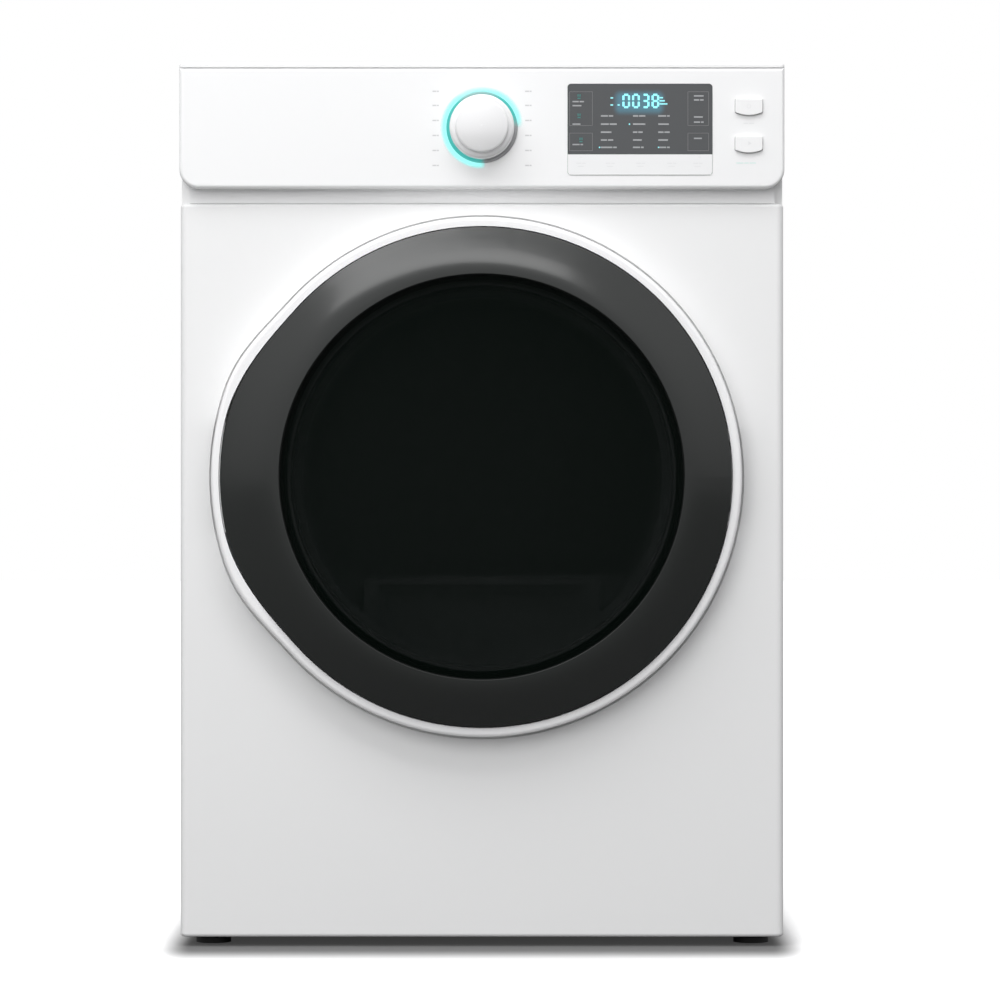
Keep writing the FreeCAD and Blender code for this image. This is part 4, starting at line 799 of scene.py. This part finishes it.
# %% [markdown]
# ## Labels on the key strip, the buttons and the fascia
# Touch keys have two short grey lines each. The knob's programme list stands left and right of it as
# short ticks, six a side. The start key carries a small triangle, the usual sign for start, and each
# button has its label printed below it.

# %% Fascia labels
KEYS_LOW, KEYS_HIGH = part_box("touch_key_strip")
KEYS_MID = (KEYS_LOW + KEYS_HIGH) / 2
bm = bmesh.new()
for x in (-72.2, -39.0, -4.7, 30.6, 60.2):
    add_dashes(bm, x, 1.6, [5.5, 4.0], 1.1, KEYS_LOW.y, origin=KEYS_MID)
    add_dashes(bm, x + 1.5, -1.9, [7.0], 0.9, KEYS_LOW.y, origin=KEYS_MID)
for x in (-68.6, 66.0):
    add_dashes(bm, x, 8.4, [3.0], 0.8, KEYS_LOW.y, origin=KEYS_MID)
add_dashes(bm, -81.0, -11.1, [162.0], 0.5, KEYS_LOW.y, origin=KEYS_MID)
finish_piece(bm, "key_labels", "cabinet", faint_grey)

bm = bmesh.new()
for z in (41.0, 25.0, 8.0, -9.0, -26.0, -43.0):
    for x in (-56.0, 49.0):
        add_dashes(bm, x, z, [4.4, 2.2], 1.5, CONSOLE_Y, gap=0.6, origin=KNOB)
finish_piece(bm, "knob_marks", "cabinet", mark_print)

START = middle("start_button")
POWER = middle("power_button")
bm = bmesh.new()
add_dashes(bm, -6.0, -19.5, [5.0, 6.0], 1.1, CONSOLE_Y, origin=POWER)
finish_piece(bm, "power_label", "cabinet", faint_grey)
bm = bmesh.new()
add_dashes(bm, -14.0, -22.0, [8.0, 5.0, 7.0], 1.1, CONSOLE_Y, origin=START)
finish_piece(bm, "start_label", "cabinet", faint_teal)

# %% [markdown]
# ## Symbols on the two buttons
# The power symbol is an open ring with a bar at its top, and the start symbol is a triangle. They
# ride on the buttons, so they go in when a button is pressed. The ring is a short profile spun
# through 300 degrees, and the triangle is a three-sided disc.

# %% Button symbols
def add_open_ring(bm, centre, inner, outer, y, gap_degrees):
    start = math.radians(90 + gap_degrees / 2)
    place = Matrix.Rotation(-start, 3, "Y")
    corners = [(inner, 0.0), (outer, 0.0), (outer, PRINT), (inner, PRINT)]
    points = []
    for radius, back in corners:
        spot = place @ Vector((radius, 0, 0))
        points.append(bm.verts.new((centre.x + spot.x, y - PRINT + back, centre.z + spot.z)))
    face = bm.faces.new(points)
    turned = bmesh.ops.spin(bm, geom=[face, *face.edges, *face.verts], cent=centre, axis=(0, -1, 0),
                            dvec=(0, 0, 0),
                            angle=math.radians(360 - gap_degrees), steps=24, use_merge=False,
                            use_duplicate=False)
    return turned


bm = bmesh.new()
power_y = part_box("power_button")[0].y
add_open_ring(bm, Vector((POWER.x, 0, POWER.z - 0.5 * MM)), 1.9 * MM, 2.4 * MM, power_y, 60)
add_block(bm, (POWER.x - 0.25 * MM, power_y - PRINT, POWER.z + 0.2 * MM),
          (POWER.x + 0.25 * MM, power_y, POWER.z + 2.6 * MM))
finish_piece(bm, "power_symbol", "power_button", faint_grey)

bm = bmesh.new()
start_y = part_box("start_button")[0].y
add_disc(bm, (START.x + 0.5 * MM, start_y - PRINT, START.z), 2.6 * MM, PRINT, sides=3)
bmesh.ops.rotate(bm, verts=bm.verts, cent=(START.x + 0.5 * MM, 0, START.z),
                 matrix=Matrix.Rotation(math.radians(90), 3, "Y"))
finish_piece(bm, "start_symbol", "start_button", faint_grey)

# %% [markdown]
# ## Screws with a cross recess
# A screw head starts as a three by three grid. Its five cross-shaped faces are pushed in for the
# driver, its rim is bridged to a circle, and the circle is drawn back for the head's edge. One
# bmesh is filled from a list of places, and it stands for the plain heads of the CAD model.

# %% Screw heads
def add_screw_head(bm, centre, radius, height, out):
    """A pan head that faces out (+1 to the back, -1 to the front) with its seat at centre."""
    head = bmesh.new()
    grid = bmesh.ops.create_grid(head, x_segments=3, y_segments=3, size=radius * 0.42)["verts"]
    middle_lines = radius * 0.42 / 3
    for vertex in grid:
        for axis in (0, 1):
            if abs(vertex.co[axis]) < middle_lines * 1.5:
                vertex.co[axis] *= 0.5
        vertex.co.z = height
    cross = [f for f in head.faces if min(abs(c) for c in f.calc_center_median()[:2]) < middle_lines * 0.5]
    sunk = bmesh.ops.extrude_face_region(head, geom=cross)["geom"]
    down = [g for g in sunk if isinstance(g, bmesh.types.BMVert)]
    bmesh.ops.delete(head, geom=cross, context="FACES")
    bmesh.ops.translate(head, verts=down, vec=(0, 0, -height * 0.6))
    rim = [e for e in head.edges if e.is_boundary and all(v.co.z > height * 0.9 for v in e.verts)]
    before = set(head.edges)
    bmesh.ops.create_circle(head, segments=12, radius=radius * 0.8,
                            matrix=Matrix.Translation((0, 0, height * 0.95))
                            @ Matrix.Rotation(math.radians(15), 4, "Z"))
    circle = [e for e in head.edges if e not in before]
    bmesh.ops.bridge_loops(head, edges=rim + circle)
    for grow, drop in ((1.25, -0.35), (1.0, -0.6)):
        edge = bmesh.ops.extrude_edge_only(head, edges=circle)["geom"]
        points = [g for g in edge if isinstance(g, bmesh.types.BMVert)]
        circle = [g for g in edge if isinstance(g, bmesh.types.BMEdge)]
        bmesh.ops.scale(head, verts=points, vec=(grow, grow, 1))
        bmesh.ops.translate(head, verts=points, vec=(0, 0, drop * height))
    turn = Matrix.Rotation(math.radians(-90 * out), 4, "X")
    bmesh.ops.transform(head, verts=head.verts, matrix=Matrix.Translation(centre) @ turn)
    mesh = bpy.data.meshes.new("head")
    head.to_mesh(mesh)
    head.free()
    bm.from_mesh(mesh)
    bpy.data.meshes.remove(mesh)


def islands(name):
    """The middle of each loose piece of a CAD node, found by flooding a merged copy."""
    copy = bmesh.new()
    copy.from_mesh(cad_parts[name].data)
    bmesh.ops.remove_doubles(copy, verts=copy.verts, dist=0.01 * MM)
    waiting, found = set(copy.verts), []
    while waiting:
        stack = [waiting.pop()]
        piece = []
        while stack:
            vertex = stack.pop()
            piece.append(vertex.co.copy())
            for edge in vertex.link_edges:
                other = edge.other_vert(vertex)
                if other in waiting:
                    waiting.remove(other)
                    stack.append(other)
        low = Vector(min(p[i] for p in piece) for i in range(3))
        high = Vector(max(p[i] for p in piece) for i in range(3))
        found.append((low, high))
    copy.free()
    return sorted(found, key=lambda pair: tuple(pair[0]))


bm = bmesh.new()
REAR_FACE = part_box("rear_panel")[1].y
for low, high in islands("cabinet_screws"):
    add_screw_head(bm, ((low.x + high.x) / 2, REAR_FACE, (low.z + high.z) / 2), (high.x - low.x) / 2,
                   high.y - REAR_FACE, 1)
heads = finish_piece(bm, "cabinet_screw_heads", "cabinet", plated)
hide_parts("cabinet_screws")

bm = bmesh.new()
for low, high in islands("door_screws"):
    add_screw_head(bm, ((low.x + high.x) / 2, high.y - 1.4 * MM, (low.z + high.z) / 2),
                   (high.x - low.x) / 2, 1.4 * MM, 1)
heads = finish_piece(bm, "door_screw_heads", "door", plated)
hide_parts("door_screws")

# %% [markdown]
# ## The stage
# The machine stands on a wide pale floor. The floor looks white when seen directly but gives back
# less light, as a matte studio sweep does, so the lower front of the cabinet falls off in tone. The
# world works the same way: white behind the machine, a soft gradient where it lights it. Round the
# machine's footprint the floor carries a painted shadow: its colour and glow darken near the foot.

# %% Floor and world
# Size, stretch and reach of the painted shadow on the floor round the machine's footprint.
FOOTPRINT_HALF = (0.325, 0.335, 0.0)
SHADE_STRETCH = (3.0, 1.0, 0.0)
SHADE_FULL, SHADE_GONE = 0.02, 0.17
bm = bmesh.new()
bmesh.ops.create_grid(bm, x_segments=1, y_segments=1, size=20.0)
mesh = bpy.data.meshes.new("floor")
bm.to_mesh(mesh)
bm.free()
floor = bpy.data.objects.new("floor", mesh)
bpy.context.scene.collection.objects.link(floor)
floor_material, tree, shader = start_material("studio_floor", Roughness=0.9, Specular_IOR_Level=0.1)
path = add_node(tree, "ShaderNodeLightPath")
sweep = add_node(tree, "ShaderNodeTexNoise", {"Vector": object_coords(tree), "Scale": 0.7, "Detail": 2.0})
pale = blend_colours(tree, sweep.outputs["Fac"], (0.93, 0.93, 0.93), (0.96, 0.96, 0.96))
seen = path.outputs["Is Camera Ray"]
# Painted shadow: near the footprint the floor's colour and its glow go dark, fading out with distance.
reach = use_group(tree, box_distance, Vector=object_coords(tree), Half_Size=FOOTPRINT_HALF,
                  Stretch=SHADE_STRETCH).outputs["Distance"]
outside_painted_shadow = add_node(tree, "ShaderNodeMapRange", {"Value": reach, "From Min": SHADE_FULL,
                                              "From Max": SHADE_GONE},
                 interpolation_type="SMOOTHSTEP").outputs["Result"]
floor_with_painted_shadow = blend_colours(tree, outside_painted_shadow, (0.16, 0.16, 0.16), pale)
tree.links.new(blend_colours(tree, seen, (0.13, 0.13, 0.13), floor_with_painted_shadow), shader.inputs["Base Color"])
glow = blend_colours(tree, outside_painted_shadow, (0.04, 0.04, 0.04), (0.42, 0.42, 0.42))
tree.links.new(blend_colours(tree, seen, (0.0, 0.0, 0.0), glow), shader.inputs["Emission Color"])
shader.inputs["Emission Strength"].default_value = 1.0
mesh.materials.append(floor_material)

world = bpy.data.worlds.new("studio")
world.use_nodes = True
tree = world.node_tree
shown = tree.nodes["Background"]
shown.inputs["Color"].default_value = (1, 1, 1, 1)
split = add_node(tree, "ShaderNodeSeparateXYZ", {"Vector": add_node(tree,
        "ShaderNodeTexCoord").outputs["Object"]})
height = add_node(tree, "ShaderNodeMapRange", {"Value": split.outputs["Z"], "From Min": -0.35,
                                               "From Max": 0.5})
sky = blend_colours(tree, height.outputs["Result"], (0.34, 0.34, 0.345), (0.86, 0.86, 0.87))
lighting = add_node(tree, "ShaderNodeBackground", {"Color": sky, "Strength": 0.92})
chosen = add_node(tree, "ShaderNodeMixShader", {0: add_node(tree,
                                                            "ShaderNodeLightPath").outputs["Is Camera Ray"],
                                                1: lighting.outputs[0], 2: shown.outputs[0]})
tree.links.new(chosen.outputs[0], tree.nodes["World Output"].inputs["Surface"])
bpy.context.scene.world = world
print("stage ready")

# %% [markdown]
# ## Lights
# One wide soft box hangs above and in front, a little to the left. It lights the top and the console
# and shows as a pale band in the smoked cover. A larger one from the front lights the white panel
# evenly, and is kept out of reflections.

# %% Soft boxes
def soft_box(name, place, target, size, power, mirrored=True):
    data = bpy.data.lights.new(name, "AREA")
    data.shape = "RECTANGLE"
    data.size, data.size_y = size
    data.energy = power
    lamp = bpy.data.objects.new(name, data)
    bpy.context.scene.collection.objects.link(lamp)
    lamp.location = place
    lamp.rotation_euler = (Vector(target) - Vector(place)).to_track_quat("-Z", "Y").to_euler()
    lamp.visible_glossy = mirrored


soft_box("overhead_box", (-0.35, -1.55, 2.65), (0.0, -0.2, 0.6), (2.6, 1.0), 30.0)
soft_box("front_box", (-1.1, -4.2, 1.75), (0.0, -0.3, 0.65), (3.0, 3.0), 64.0, mirrored=False)
print("lights ready")

# %% [markdown]
# ## Camera
# A long lens far back, level with the middle of the machine, keeps upright lines upright.

# %% Camera and colour
camera_data = bpy.data.cameras.new("camera")
camera_data.lens = 143.0
camera_data.sensor_width = 36.0
camera = bpy.data.objects.new("camera", camera_data)
bpy.context.scene.collection.objects.link(camera)
camera.location = (0.0205, -4.843, 0.508)
camera.rotation_euler = (math.radians(90), 0, 0)
bpy.context.scene.camera = camera
bpy.context.scene.view_settings.view_transform = "Standard"
print("camera ready")
